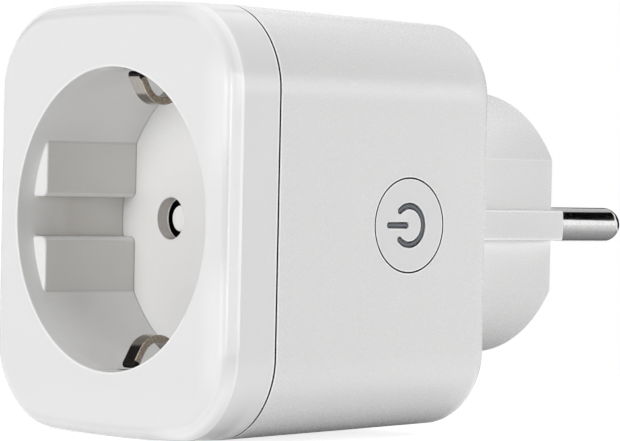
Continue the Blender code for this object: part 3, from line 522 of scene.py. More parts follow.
def shell_row(turns, inset, depth):
    """Outline of the shell at a depth, drawn in by an inset, at given turns.

    Each ray meets the side, the top or the corner circle of a rounded rectangle. Heights are then
    lowered by a share that grows with the square of x, which crowns the top and the bottom."""
    drawn = inset + taper(depth)
    wide, high, round_ = HALF_WIDTH - drawn, HALF_HEIGHT - drawn, CORNER_RADIUS - drawn
    across, up = np.abs(np.cos(turns)), np.abs(np.sin(turns))
    to_side = wide / np.maximum(across, TINY)
    to_top = high / np.maximum(up, TINY)
    near = (wide - round_) * across + (high - round_) * up
    inside = near ** 2 - (wide - round_) ** 2 - (high - round_) ** 2 + round_ ** 2
    to_corner = near + np.sqrt(np.maximum(inside, 0.0))
    reach = np.where(to_side * up <= high - round_, to_side,
                     np.where(to_top * across <= wide - round_, to_top, to_corner))
    x, z = reach * np.cos(turns), reach * np.sin(turns)
    return at_depth(np.stack([x, z * (1 - CROWN * x * x / (high * wide * wide))], -1), depth)


def between(first, last, *shares):
    """Rows a given share of the way from one row to another."""
    return [first + (last - first) * share for share in shares]


# Faces

def grid_faces(row_count, column_count, closed):
    """Corners of the cells of a grid held row by row; a closed grid joins its last column to its first."""
    columns = np.arange(column_count if closed else column_count - 1)
    rows = np.arange(row_count - 1)[:, None] * column_count
    after = (columns + 1) % column_count
    corners = np.stack([rows + columns, rows + after], -1)
    return np.concatenate([corners, corners[..., ::-1] + column_count], -1)


def sheet(rows, closed=True):
    """Points and faces of a grid of rows."""
    grid = np.stack(rows)
    return grid.reshape(-1, 3), grid_faces(len(grid), grid.shape[1], closed).reshape(-1, 4)


def sheet_without(rows, cells):
    """A closed grid with blocks of cells left out, each given by its first and last row and column."""
    grid = np.stack(rows)
    faces = grid_faces(len(grid), grid.shape[1], True)
    kept = np.ones(faces.shape[:2], bool)
    for first_row, last_row, columns in cells:
        kept[first_row:last_row, columns[:-1]] = False
    return grid.reshape(-1, 3), faces[kept]


def window_walls(rows, outer_row, inner_row, columns):
    """Walls of a window through a moulding: its edge in one skin joined to its edge in the other.

    Each skin has the window between a row and the next, and the two skins run opposite ways."""
    outer = [rows[outer_row][columns], rows[outer_row + 1][columns]]
    inner = [rows[inner_row + 1][columns], rows[inner_row][columns]]
    loops = [np.concatenate([pair[0], pair[1][::-1]]) for pair in (outer, inner)]
    return sheet(loops)


def sleeve(front, back, rings):
    """A plate with one hole: rows run from its front boundary to the hole, through it and out to its back."""
    inwards = between(rings[0], front, *NEARING)
    outwards = between(rings[-1], back, *NEARING[::-1])
    return sheet([front, *inwards, *rings, *outwards, back])


def turned(profile, centre, steps=ROUND_STEPS, closed=False):
    """A profile of (radius, depth) spun about a line along Y through centre (x, z)."""
    middle = (centre[0], 0.0, centre[1])
    rows = [circle_row(full_turn(steps), radius, depth) + middle for radius, depth in profile]
    return sheet(rows + rows[:1] if closed else rows)


def stroke_frame(line):
    """Points and directions round a flat line of points: along one side, round its end, back along the other
    and round its start. A point a distance h off the line is base + h * direction."""
    run = np.gradient(line, axis=0)
    side = np.stack([-run[:, 1], run[:, 0]], -1) / np.linalg.norm(run, axis=1)[:, None]
    fan = np.linspace(0.0, np.pi, CAP_STEPS)[1:-1, None]

    def cap(normal):
        ahead = np.array((normal[1], -normal[0]))
        return np.cos(fan) * normal + np.sin(fan) * ahead

    ones = np.ones((len(fan), 1))
    base = np.concatenate([line, ones * line[-1], line[::-1], ones * line[0]])
    direction = np.concatenate([side, cap(side[-1]), -side[::-1], cap(-side[0])])
    return base, direction


def stroke(line, half, low, high, edge):
    """A strip with round ends along a line in (y, z), from x low to x high, with its edges rounded.

    Rows run from the line out over one face, round its edge, down the side and back over the other face."""
    base, direction = stroke_frame(line)
    bend = np.linspace(0.0, np.pi / 2, 4)
    flat = half - edge
    offs = np.concatenate([[0.0, flat - SLIVER], flat + edge * np.sin(bend), [half, half],
                           flat + edge * np.cos(bend), [flat - SLIVER, 0.0]])
    xs = np.concatenate([[high, high], high - edge * (1 - np.cos(bend)), [high - edge - SLIVER],
                         [low + edge + SLIVER], low + edge * (1 - np.sin(bend)), [low, low]])
    ones = np.ones(len(base))
    return sheet([np.column_stack([x * ones, base + off * direction]) for x, off in zip(xs, offs)])


# Pieces

def placed(name, data):
    """A new object in the scene."""
    made = bpy.data.objects.new(name, data)
    bpy.context.scene.collection.objects.link(made)
    return made


def stage_sheet(name, points, faces, finish):
    """A flat thing of the stage, which isn't part of the object; its glow isn't sampled as a light."""
    mesh = bpy.data.meshes.new(name)
    mesh.from_pydata(points.tolist(), [], faces)
    finish.material.cycles.emission_sampling = "NONE"
    mesh.materials.append(finish.material)
    made = placed(name, mesh)
    return made


def link_mesh(name, points, faces):
    """An object from points and faces, with doubles merged and its faces turned outwards."""
    mesh = bpy.data.meshes.new(name)
    mesh.from_pydata((points + ORIGIN).tolist(), [], faces.tolist())
    work = bmesh.new()
    work.from_mesh(mesh)
    bmesh.ops.remove_doubles(work, verts=work.verts, dist=MERGE)
    bmesh.ops.dissolve_degenerate(work, edges=work.edges, dist=MERGE)
    bmesh.ops.recalc_face_normals(work, faces=work.faces)
    open_edges = sum(1 for edge in work.edges if len(edge.link_faces) != 2)
    if open_edges:
        raise RuntimeError(f"{name} has {open_edges} edges that don't join two faces")
    work.to_mesh(mesh)
    work.free()
    return placed(name, mesh)


def joined(sheets):
    """Points and faces of several sheets as one."""
    starts = np.cumsum([0] + [len(points) for points, _ in sheets[:-1]])
    return (np.concatenate([points for points, _ in sheets]),
            np.concatenate([faces + start for (_, faces), start in zip(sheets, starts)]))


def finish_piece(made, finish, body, slot, *nodes):
    """Shade a piece, give it its finish and seat it on its body in place of the solids it stands for."""
    made.data.shade_smooth()
    made.data.set_sharp_from_angle(angle=SHARP)
    made.data.materials.clear()
    made.data.materials.append(finish)
    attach(made, body)
    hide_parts(*nodes)
    return made


def cut_away(target, cutters):
    """Take the cutters out of a piece with a Boolean that is then applied."""
    for cutter in cutters:
        modifier = target.modifiers.new(cutter.name, "BOOLEAN")
        modifier.operation = "DIFFERENCE"
        modifier.solver = "EXACT"
        modifier.object = cutter
    bpy.context.view_layer.update()
    carved = bpy.data.meshes.new_from_object(target.evaluated_get(bpy.context.evaluated_depsgraph_get()))
    target.modifiers.clear()
    target.data = carved
    for cutter in cutters:
        bpy.data.objects.remove(cutter, do_unlink=True)


# Finishes

class Wire:
    """A shader value that takes part in Python arithmetic; each operation adds one Math node."""

    def __init__(self, finish, socket):
        self.finish = finish
        self.socket = socket

    def math(self, operation, first, second):
        return self.finish.node("ShaderNodeMath", {"operation": operation}, {0: first, 1: second})

    def __add__(self, other):
        return self.math("ADD", self, other)

    def __sub__(self, other):
        return self.math("SUBTRACT", self, other)

    def __rsub__(self, other):
        return self.math("SUBTRACT", other, self)

    def __mul__(self, other):
        return self.math("MULTIPLY", self, other)

    __radd__ = __add__
    __rmul__ = __mul__

    def __abs__(self):
        return self.math("ABSOLUTE", self, 0.0)

    def above(self, limit):
        """1 where the value is over a limit, else 0."""
        return self.math("GREATER_THAN", self, limit)

    def below(self, limit):
        """1 where the value isn't over a limit, else 0."""
        return 1.0 - self.above(limit)

    def most(self, other):
        """The larger of two values."""
        return self.math("MAXIMUM", self, other)

    def near(self, middle, reach):
        """1 where the value lies within a reach of a middle, else 0."""
        return self.finish.node("ShaderNodeMath", {"operation": "COMPARE"}, {0: self, 1: middle, 2: reach})

    def rise(self, start, end):
        """0 up to a start, 1 from an end on, with a smooth climb between them."""
        return self.finish.node("ShaderNodeMapRange", {"interpolation_type": "SMOOTHSTEP"},
                                {"Value": self, "From Min": start, "From Max": end})

    def fall(self, start, end):
        """1 up to a start, 0 from an end on, with a smooth drop between them."""
        return 1.0 - self.rise(start, end)

    def band(self, start, full, fade, end):
        """A smooth climb from a start to where it is full, then a smooth drop from a fade to an end."""
        return self.rise(start, full) * self.fall(fade, end)

    def far(self, other):
        """How far a point lies from the origin: the root of the sum of two squares."""
        return self.math("POWER", self * self + other * other, 0.5)


class Finish:
    """A node tree under construction, in which patterns are placed in millimetres."""

    def __init__(self, name, tree=None):
        if tree is None:
            self.material = bpy.data.materials.new(name)
            self.material.use_nodes = True
            tree = self.material.node_tree
        self.tree = tree
        self.tree.nodes.clear()

    def node(self, kind, settings=None, inputs=None, output=0):
        """Add a node, set it up, then give its sockets values or links."""
        made = self.tree.nodes.new(kind)
        for name, value in (settings or {}).items():
            setattr(made, name, value)
        for name, value in (inputs or {}).items():
            if isinstance(value, Wire):
                self.tree.links.new(value.socket, made.inputs[name])
            else:
                made.inputs[name].default_value = value
        return Wire(self, made.outputs[output]) if made.outputs else made

    def place(self, stretch=(1.0, 1.0, 1.0)):
        """Object coordinates in millimetres from the middle of the front face, drawn out along an axis whose
        share is under 1."""
        scale = tuple(share / MM for share in stretch)
        shift = tuple(-start * share for start, share in zip(ORIGIN, scale))
        return self.node("ShaderNodeMapping", None, {
            "Vector": self.node("ShaderNodeTexCoord", output="Object"), "Location": shift, "Scale": scale})

    def axes(self):
        """The same coordinates as three values: across, depth and height."""
        split = self.node("ShaderNodeSeparateXYZ", None, {0: self.place()}).socket.node
        return [Wire(self, socket) for socket in split.outputs]

    def noise(self, size, detail=2.0, stretch=(1.0, 1.0, 1.0)):
        """Soft random values from 0 to 1 whose lumps are about a size in millimetres across."""
        return self.node("ShaderNodeTexNoise", None, {
            "Vector": self.place(stretch), "Scale": 1.0 / size, "Detail": detail})

    def mix(self, factor, first, second, blend="MIX"):
        """A colour between two, or the first toned by the second."""
        return self.node("ShaderNodeMix", {"data_type": "RGBA", "blend_type": blend},
                         {0: factor, 6: first, 7: second}, output=2)

    def shade(self, factor, colour, low, high):
        """A colour that runs from a low to a high share of itself."""
        return self.mix(factor, opaque(colour, low), opaque(colour, high))

    def bump(self, height, distance):
        """A normal from a height whose full range stands for a distance in millimetres."""
        return self.node("ShaderNodeBump", None, {
            "Height": height, "Distance": distance * MM, "Strength": 1.0})

    def principled(self, **inputs):
        """Close the tree with a Principled shader and return the material."""
        named = {name.replace("_", " ").title(): value for name, value in inputs.items()}
        if "Ior" in named:
            named["IOR"] = named.pop("Ior")
        self.close(self.node("ShaderNodeBsdfPrincipled", None, named))
        return self.material

    def close(self, surface):
        """Send a shader to the material's surface."""
        self.node("ShaderNodeOutputMaterial", None, {"Surface": surface})


def opaque(colour, share=1.0):
    """A colour with its alpha, brightened or dimmed by a share."""
    return (*(min(1.0, channel * share) for channel in colour), 1.0)


# Tone layers of the mouldings, which paint highlights and shade: how a colour goes on, where, and the colour

def paint_highlight(place, share=1.0):
    """A painted highlight: a layer that takes a place a share of the way to white."""
    return "MIX", place * share, BRIGHT


def paint_gap_shade(place):
    """Painted shade: a layer that turns a place as dark as a deep gap."""
    return "MIX", place, GAP_SHADE


def paint_shade(place, red, green=None, blue=None):
    """Painted shade: a layer that multiplies a place by a colour, or by one grey value."""
    return "MULTIPLY", place, (red, red if green is None else green, red if blue is None else blue, 1.0)


def crown_layers(across, depth, height):
    """Painted light on the rolls along the side: above, a soft band of painted highlight, a roll of painted
    shade and a painted highlight on the edge; below, a soft band of painted highlight and painted shade on
    the edge."""
    side = across.rise(*SIDE_ACROSS) * depth.band(*SIDE_DEPTH)
    return [paint_highlight(side * height.band(*UPPER_BAND), share=0.35),
            paint_highlight(side * height.rise(*UPPER_EDGE), share=0.65),
            paint_highlight(side * height.band(*LOWER_BAND), share=0.3),
            paint_shade(side * height.fall(*LOWER_EDGE), 0.8),
            paint_shade(side * height.band(*UPPER_ROLL), 0.94)]


def seam_layers(reach, depth):
    """Painted shade in the joint between the cover and the casing, and a painted highlight line along each of
    its two edges.
    """
    outside = reach.above((WELL_RADIUS + WELL_WALL) / MM + SEAM_ROOM)
    line, half = SEAM_LINE / MM, SEAM_GAP / MM / 2
    return [paint_highlight(outside * depth.near(line, half + SEAM_BRIGHT)),
            paint_gap_shade(outside * depth.near(line, half + HAIR))]


def well_layers(across, depth, height, reach):
    """Painted light in the well: painted shade that makes the walls warmer, the guides and slots duller and
    the creases and pin holes dark, and painted highlights on the rims.
    """
    aside, above = abs(across), abs(height)
    radius, floor, start, flat = (size / MM for size in (WELL_RADIUS, WELL_DEPTH, GUIDE_START, GUIDE_FLAT))
    guide_end = math.sqrt(radius ** 2 - flat ** 2)
    slot = GUIDE_SLOT / MM / 2
    well = depth.above(FACE_SKIN) * reach.below(MOUTH_RADIUS / MM + HAIR)
    wall = depth.below(floor - 2 * HAIR)
    inner = well * depth.above(start + GUIDE_ROUND) * wall
    rim = reach.above(radius - WALL_SKIN)
    holes = reach.below(radius - FLOOR_RIM)
    guides = inner * above.below(guide_end - GUIDE_END) * aside.near(flat, GUIDE_SKIN)
    slots = well * depth.rise(*(start + shift for shift in SLOT_SHADE)) * wall * rim * above.below(slot)
    return [
        paint_shade(well, *WELL_TONE),
        paint_shade(guides, *GUIDE_TONE),
        paint_shade(slots, *SLOT_TONE),
        paint_shade(inner * aside.above(flat - GUIDE_SIDE) * above.near(guide_end, GUIDE_CREASE),
             *GUIDE_CREASE_TONE),
        paint_shade(inner * rim * above.near(slot, SLOT_CREASE), *CREASE_TONE),
        paint_shade(inner * depth.above(floor - FLOOR_CREASE), *CREASE_TONE),
        paint_shade(depth.above(floor + HOLE_START) * holes, *HOLE_TONE),
        paint_highlight(depth.above(FLOOR_BACK / MM - HOLE_RIM) * holes),
        paint_highlight(depth.near(start + GUIDE_END, GUIDE_LINE) * reach.below(radius - 5 * HAIR), share=0.35)]


def face_layers(across, depth, height, reach):
    """Painted light on the face and its roll: painted highlights on the mouth's rim, the right side and the
    right corners, painted shade in a dip where the roll starts and on the foot, and a painted highlight line
    where the roll ends."""
    above = abs(height)
    roll = reach.above(ROLL_REACH)
    mouth = reach.near(MOUTH_RADIUS / MM + MOUTH_LINE[0], MOUTH_LINE[1]) * across.below(MOUTH_ACROSS)
    plain = 1.0 - across.rise(*CORNER_ACROSS) * above.rise(*CORNER_HEIGHT)
    low = across.rise(*CORNER_ACROSS) * height.fall(*LOW_CORNER_HEIGHT) * depth.fall(*LOW_CORNER_END)
    high = across.rise(*HIGH_CORNER_ACROSS) * height.rise(*HIGH_CORNER_HEIGHT) * depth.fall(*HIGH_CORNER_END)
    start = depth.rise(*ROLL_START)
    return [
        paint_highlight(mouth * depth.below(MOUTH_FACE), share=0.5),
        paint_highlight(depth.below(FACE_SKIN) * across.rise(*FACE_ACROSS) * above.band(*FACE_HEIGHT),
                 share=0.35),
        paint_shade(roll * depth.band(*ROLL_DIP) * plain, 0.96),
        paint_highlight(roll * low * (start * 0.35 + depth.rise(*LOW_CORNER_ROLL) * 0.5)),
        paint_highlight(roll * high * (start * 0.25 + depth.rise(*HIGH_CORNER_ROLL) * 0.45)),
        paint_shade(depth.band(*COVER_FOOT_DEPTH) * height.fall(*COVER_FOOT_HEIGHT), 0.55),
        paint_highlight(roll * depth.near(*ROLL_LINE) * (above.rise(*ROLL_LINE_HEIGHT) * 0.5 + 0.35))]


def cover_layers(made):
    """Painted highlights and painted shade of the cover: in its well, on its face, on the rolls along its
    side and at the seam.
    """
    across, depth, height = made.axes()
    reach = across.far(height)
    return [*well_layers(across, depth, height, reach), *face_layers(across, depth, height, reach),
            *crown_layers(across, depth, height), *seam_layers(reach, depth)]


def casing_layers(made):
    """Painted light on the casing: painted highlights over the top of the boss and along its edges, the
    painted light of the rolls along its side and of the seam, and a painted highlight on the edge and painted
    shade in the gap round the button."""
    across, depth, height = made.axes()
    aside, above = abs(across), abs(height)
    side = across.above(WELL_RADIUS / MM)
    away = (depth - BUTTON_DEPTH / MM).far(height)
    boss = depth.above(SHELL_DEPTH / MM + BOSS_ROOM)
    flat = BOSS_FLAT / MM
    behind = boss * aside.above(flat - BOSS_SIDE)
    flat_end = math.sqrt(BOSS_RADIUS ** 2 - BOSS_FLAT ** 2) / MM
    key = aside.above(flat + KEY_SIDE) * above.near(KEY_HALF / MM - KEY_LINE[0], KEY_LINE[1])
    return [
        paint_highlight(boss * height.rise(*BOSS_SHOULDER), share=0.25),
        paint_highlight(behind * height.near(flat_end, BOSS_LINE), share=0.4),
        paint_highlight(behind * key, share=0.8),
        *crown_layers(across, depth, height),
        *seam_layers(across.far(height), depth),
        paint_highlight(side * away.near(BUTTON_HOLE / MM, BUTTON_LINE)),
        paint_gap_shade(side * away.below(BUTTON_HOLE / MM + HAIR))]


def button_layers(made):
    """Painted light on the button: painted highlight lines round the power symbol and along its edge, and
    painted shade on its side.

    The lines keep one distance from the ring's circle and from the bar's straight middle."""
    _, depth, height = made.axes()
    above = abs(height)
    ahead = BUTTON_DEPTH / MM - depth
    away = ahead.far(height)
    opening = (ahead * math.tan(LEGEND_OPENING / 2) - above).above(0.0)
    ring = abs(away - LEGEND_RADIUS / MM).near(*HALO) * (1.0 - opening)
    middle = -sum(LEGEND_BAR) / 2 / MM
    half = (LEGEND_BAR[1] - LEGEND_BAR[0]) / 2 / MM
    beyond = (abs(ahead - middle) - half + HALO_END).most(0.0)
    return [paint_highlight(ring.most(beyond.far(above).near(*HALO)), share=0.6),
            paint_highlight(away.above(BUTTON_RADIUS / MM - BUTTON_LINE)),
            paint_gap_shade(away.above(BUTTON_RADIUS / MM - HAIR))]


# Materials

def white_moulding(name, colour, roughness, grain, depth, layers=None):
    """White moulded plastic: faint cloudy shifts of tone, and a fine grain in its tone, gloss and surface.

    Layers give the places of painted highlights and painted shade, each with how its colour goes on."""
    made = Finish(name)
    cloud = made.noise(size=14.0, detail=3.0)
    fine = made.noise(size=grain)
    coarse = made.noise(size=grain * 3.0, detail=1.0)
    tone = made.shade(cloud * 0.4 + fine * 0.6, colour, low=0.975, high=1.02)
    for blend, place, layer in layers(made) if layers else ():
        tone = made.mix(place, tone, layer, blend)
    return made.principled(base_color=tone, roughness=roughness + (fine - 0.5) * 0.06,
                           normal=made.bump(fine * 0.7 + coarse * 0.3, depth), ior=1.47)


def plated(name, colour, roughness, stretch, raw_from=None, clip_end=False):
    """Nickel plate drawn along one way, with hair lines and slightly dulled patches.

    Stamped strips show bare bronze on their cut edges, further across than raw_from. On a clip the free end
    is painted
    dark as well, a painted dark reflection: along its lead a point lies at depth * cos(lead) - height *
    sin(lead)."""
    made = Finish(name)
    lines = made.noise(size=0.09, stretch=stretch)
    patch = made.noise(size=1.3, detail=3.0)
    tone = made.shade(made.noise(size=0.28, detail=3.0), colour, low=0.78, high=1.18)
    gloss = roughness + patch * 0.06 + (lines - 0.5) * 0.1
    if raw_from:
        across, depth, height = made.axes()
        raw = abs(across).above(raw_from / MM)
        tone = made.mix(raw, tone, made.mix(made.noise(size=0.16).rise(0.3, 0.7), *BRONZE))
        gloss = gloss + raw * 0.3
        if clip_end:
            forward, up = math.cos(CLIP_LEAD), math.sin(CLIP_LEAD)
            end = (CLIP_START * forward - CLIP_END_LEVEL * up + CLIP_THICK_HALF) / MM
            along = depth * forward - abs(height) * up
            # The free end of a clip is painted dark, a painted dark reflection that reaches a little further
            # along its cut edges
            tone = made.mix(along.below(end + raw * CLIP_END_SPREAD), tone, CLIP_END_DARK_REFLECTION)
    return made.principled(base_color=tone, roughness=gloss, metallic=1.0, normal=made.bump(lines, 0.0012))


def grey_inlay(name, colour):
    """Smoked plastic of the power symbol, a little uneven in depth and darker along its rim."""
    made = Finish(name)
    cloud = made.noise(size=0.5)
    rim = made.node("ShaderNodeAttribute", {"attribute_name": "rim"}, output="Fac")
    tone = made.shade(cloud, colour, low=0.88, high=1.14)
    tone = made.mix(rim.rise(0.25, 0.65), tone, opaque(colour, share=0.15))
    return made.principled(base_color=tone, roughness=0.32 + cloud * 0.1, normal=made.bump(cloud, 0.004),
                           ior=1.5)


def black_moulding(name, colour, grain):
    """Dark moulded plastic or epoxy with a satin grain."""
    made = Finish(name)
    fine = made.noise(size=grain, detail=3.0)
    return made.principled(base_color=made.shade(fine, colour, low=0.8, high=1.3),
                           roughness=0.4 + fine * 0.2, normal=made.bump(fine, 0.01), ior=1.5)


def circuit_board(name):
    """Green solder mask over copper tracks that show as slightly lighter, raised runs."""
    made = Finish(name)
    cells = made.node("ShaderNodeTexBrick", {"offset": 0.5}, {
        "Vector": made.place(), "Scale": 0.35, "Mortar Size": 0.12, "Mortar Smooth": 0.2}, output="Fac")
    fine = made.noise(size=0.3)
    return made.principled(base_color=made.mix(cells, BOARD_TRACK, BOARD_FIELD),
                           roughness=0.35 + fine * 0.15, normal=made.bump(cells, -0.03), ior=1.5)


def tinted(name, colour, roughness, grain, metallic=0.0):
    """A plain coloured part with a fine grain."""
    made = Finish(name)
    fine = made.noise(size=grain, detail=3.0)
    return made.principled(base_color=made.shade(fine, colour, low=0.85, high=1.12), metallic=metallic,
                           roughness=roughness + (fine - 0.5) * 0.12, normal=made.bump(fine, 0.006))


# Operators

class METER_OT_cover(bpy.types.Operator):
    """Front cover with its rolled front edge, the socket well, its guides, windows and pin holes"""
    bl_idname = "meter.cover"
    bl_label = "Front cover"

    def execute(self, context):
        sizes = shape()
        window = math.acos(WINDOW_HALF / WELL_RADIUS)
        quarter = notched_quarter(WELL_RADIUS, GUIDE_FLAT, GUIDE_SLOT / 2, WELL_RADIUS,
                                  GUIDE_CORNERS, window, EDGE_STEPS)
        guide = whole_loop(quarter)
        turns = turn_of(guide)
        gap = np.clip((WELL_RADIUS - np.linalg.norm(guide, axis=1)) / sizes.rib_edge, 0.0, 1.0)[:, None]
        into = outward(guide) * gap * sizes.rib_edge

        rows = [at_depth(guide, depth)
                for depth in (WELL_DEPTH, WELL_DEPTH - FLOOR_REST, WINDOW_BACK, WINDOW_FRONT)]
        rows += [at_depth(guide + into * gone, GUIDE_START + sizes.rib_edge * left)
                 for gone, left in quarter_round()]
        rows.append(circle_row(turns, WELL_RADIUS, GUIDE_START - SLIVER))
        mouth = [circle_row(turns, MOUTH_RADIUS - sizes.mouth_edge * (1 - gone), sizes.mouth_edge * left)
                 for gone, left in quarter_round()]
        rows += [*between(rows[-1], mouth[0], 0.1, 0.5, 0.9), *mouth]
        rows += between(rows[-1], shell_row(turns, sizes.front_inset, 0.0), 0.2, 0.8)
        rows += [shell_row(turns, sizes.front_inset * left, sizes.front_depth * gone)
                 for gone, left in quarter_round(3 * EDGE_STEPS)]
        rows += [shell_row(turns, 0.0, depth)
                 for depth in (sizes.front_depth + EDGE_REST, COVER_END - sizes.seam_edge - EDGE_REST)]
        rows += [shell_row(turns, sizes.seam_edge * gone, COVER_END - sizes.seam_edge * left)
                 for gone, left in quarter_round()]
        hollow = TONGUE_INSET + TONGUE_WALL
        rows += [shell_row(turns, inset, depth) for inset, depth in (
            (TONGUE_INSET, COVER_END), (TONGUE_INSET, TONGUE_END), (hollow, TONGUE_END), (hollow, WALL))]
        room = np.linalg.norm(rows[-1][:, (0, 2)], axis=1) - TUBE_ROOM
        tube = np.minimum(WELL_RADIUS + WELL_WALL, room)
        rows += [circle_row(turns, tube, depth) for depth in (WALL, WINDOW_FRONT, WINDOW_BACK, FLOOR_BACK)]

        top = len(quarter) - 1
        inside = 2
        outside = len(rows) - 3
        reach = EDGE_STEPS - 1
        blocks = [np.arange(middle - reach, middle + reach + 1) for middle in (top, 3 * top)]
        cells = [(row, row + 1, block) for row in (inside, outside) for block in blocks]
        sheets = [sheet_without(rows, cells)]
        sheets += [window_walls(rows, outside, inside, block) for block in blocks]
        sheets += [self.floor(side, rows[0], rows[-1], top, sizes.hole_edge) for side in (1, -1)]

        finish = white_moulding("cover white", colours().cover, roughness=0.09, grain=0.35, depth=0.002,
                                layers=cover_layers)
        made = link_mesh("cover_moulding", *joined(sheets))
        finish_piece(made, finish, "shell", "cover", "front_cover")
        return {"FINISHED"}

    @staticmethod
    def floor(side, front_row, back_row, top, edge):
        """Half the floor of the well with its pin hole: from the well's edge and the middle line inwards."""
        count = len(front_row)
        columns = np.arange(-top, top + 1) if side > 0 else np.arange(top, 3 * top + 1)
        bounds = []
        for row in (front_row, back_row):
            rim = row[columns % count]
            bounds.append(np.concatenate([rim, span(rim[-1], rim[0], FLOOR_STEPS)[1:-1]]))
        middle = np.array((side * PIN_PITCH / 2, 0.0))
        turns = turn_of(bounds[0][:, (0, 2)] - middle)
        rings = [circle_row(turns, PIN_HOLE_RADIUS + edge * left, WELL_DEPTH + edge * gone)
                 for gone, left in quarter_round()]
        rings.append(circle_row(turns, PIN_HOLE_RADIUS, FLOOR_BACK))
        rings = [ring + (middle[0], 0.0, 0.0) for ring in rings]
        return sleeve(bounds[0], bounds[1], rings)


class METER_OT_casing(bpy.types.Operator):
    """Rear casing with its drafted sides, button hole, plug boss, ribs, strap grooves and end holes"""
    bl_idname = "meter.casing"
    bl_label = "Rear casing"

    def execute(self, context):
        sizes = shape()
        groove = math.acos(GROOVE_HALF / BOSS_RADIUS)
        quarter = notched_quarter(BOSS_RADIUS, BOSS_FLAT, KEY_HALF, KEY_REACH,
                                  KEY_CORNERS, groove, EDGE_STEPS + 2)
        boss = whole_loop(quarter)
        turns = turn_of(boss)
        sunk = boss.copy()
        deep = np.abs(boss[:, 0]) < GROOVE_HALF - SLIVER / 10
        sunk[deep, 1] = np.sign(boss[deep, 1]) * GROOVE_FLOOR

        rows = [shell_row(turns, WALL, CASING_START)]
        rows += [shell_row(turns, sizes.seam_edge * left, CASING_START + sizes.seam_edge * gone)
                 for gone, left in quarter_round()]
        rows.append(shell_row(turns, 0.0, CASING_START + sizes.seam_edge + EDGE_REST))
        outer_patch = len(rows)
        patch_depths = np.linspace(BUTTON_DEPTH - BUTTON_PATCH, BUTTON_DEPTH + BUTTON_PATCH, PATCH_STEPS)
        rows += [shell_row(turns, 0.0, depth) for depth in patch_depths]
        rows.append(shell_row(turns, 0.0, SHELL_DEPTH - REAR_EDGE_DEPTH - EDGE_REST))
        rows += [shell_row(turns, REAR_EDGE_INSET * gone, SHELL_DEPTH - REAR_EDGE_DEPTH * left)
                 for gone, left in quarter_round(2 * EDGE_STEPS)]
        rows += between(rows[-1], at_depth(boss, SHELL_DEPTH), 0.1, 0.9)
        rows += [at_depth(boss, SHELL_DEPTH), at_depth(boss, GROOVE_FRONT)]
        leg_outside = len(rows)
        rows += [at_depth(sunk, depth) for depth in (GROOVE_FRONT + SLIVER, LEG_SLOT_BACK, GROOVE_BACK)]
        rows.append(at_depth(boss, GROOVE_BACK + SLIVER))
        away = outward(boss)
        rows += [at_depth(boss - away * sizes.boss_edge * gone, BOSS_END - sizes.boss_edge * left)
                 for gone, left in quarter_round()]
        end_row = rows[-1]

        inner = np.minimum(BOSS_RADIUS - BOSS_WALL,
                           (BOSS_FLAT - BOSS_WALL) / np.maximum(np.abs(np.cos(turns)), TINY))
        inside = [circle_row(turns, inner, depth)
                  for depth in (BOSS_CAVITY_END, LEG_SLOT_BACK, GROOVE_FRONT + SLIVER, CAVITY_BACK)]
        inside.append(shell_row(turns, WALL, CAVITY_BACK))
        inner_patch = len(inside)
        inside += [shell_row(turns, WALL, depth) for depth in patch_depths[::-1]]
        inside.append(rows[0])

        top = len(quarter) - 1
        reach = EDGE_STEPS
        blocks = [np.arange(middle - reach, middle + reach + 1) for middle in (top, 3 * top)]
        near = int(np.sum((turns > 0.0) & (turns < BUTTON_PATCH_TURN)))
        patch = np.arange(-near, near + 1) % len(turns)
        patch_rows = len(patch_depths) - 1
        sheets = [
            sheet_without(rows, [(outer_patch, outer_patch + patch_rows, patch)]
                          + [(leg_outside, leg_outside + 1, block) for block in blocks]),
            sheet_without(inside, [(inner_patch, inner_patch + patch_rows, patch)]
                          + [(1, 2, block) for block in blocks])]
        for block in blocks:
            loops = [np.concatenate([rows[leg_outside][block], rows[leg_outside + 1][block][::-1]]),
                     np.concatenate([inside[2][block], inside[1][block][::-1]])]
            sheets.append(sheet(loops))
        outer_block = np.stack(rows[outer_patch:outer_patch + patch_rows + 1])[:, patch]
        inner_block = np.stack(inside[inner_patch:inner_patch + patch_rows + 1])[::-1, patch]
        sheets.append(self.button_hole(outer_block, inner_block, sizes.button_edge))
        sheets += self.end_face(end_row, inside[0], top)

        finish = white_moulding("casing white", colours().casing, roughness=0.27, grain=0.2, depth=0.0035,
                                layers=casing_layers)
        made = link_mesh("casing_moulding", *joined(sheets))
        finish_piece(made, finish, "shell", "casing", "rear_casing")
        return {"FINISHED"}

    @staticmethod
    def button_hole(outer, inner, edge):
        """A patch of the side with the round hole for the button, through to the inside of the wall."""
        bounds = [np.concatenate([block[0], block[1:-1, -1], block[-1, ::-1], block[-2:0:-1, 0]])
                  for block in (outer, inner)]
        turns = np.arctan2(bounds[0][:, 2], bounds[0][:, 1] - BUTTON_DEPTH)
        rings = []
        profile = [(BUTTON_HOLE + edge * left, edge * gone) for gone, left in quarter_round()]
        for radius, sink in [*profile, (BUTTON_HOLE, WALL)]:
            depth = BUTTON_DEPTH + radius * np.cos(turns)
            rings.append(np.stack([side_face(depth) - sink, depth, radius * np.sin(turns)], -1))
        return sleeve(bounds[0], bounds[1], rings)

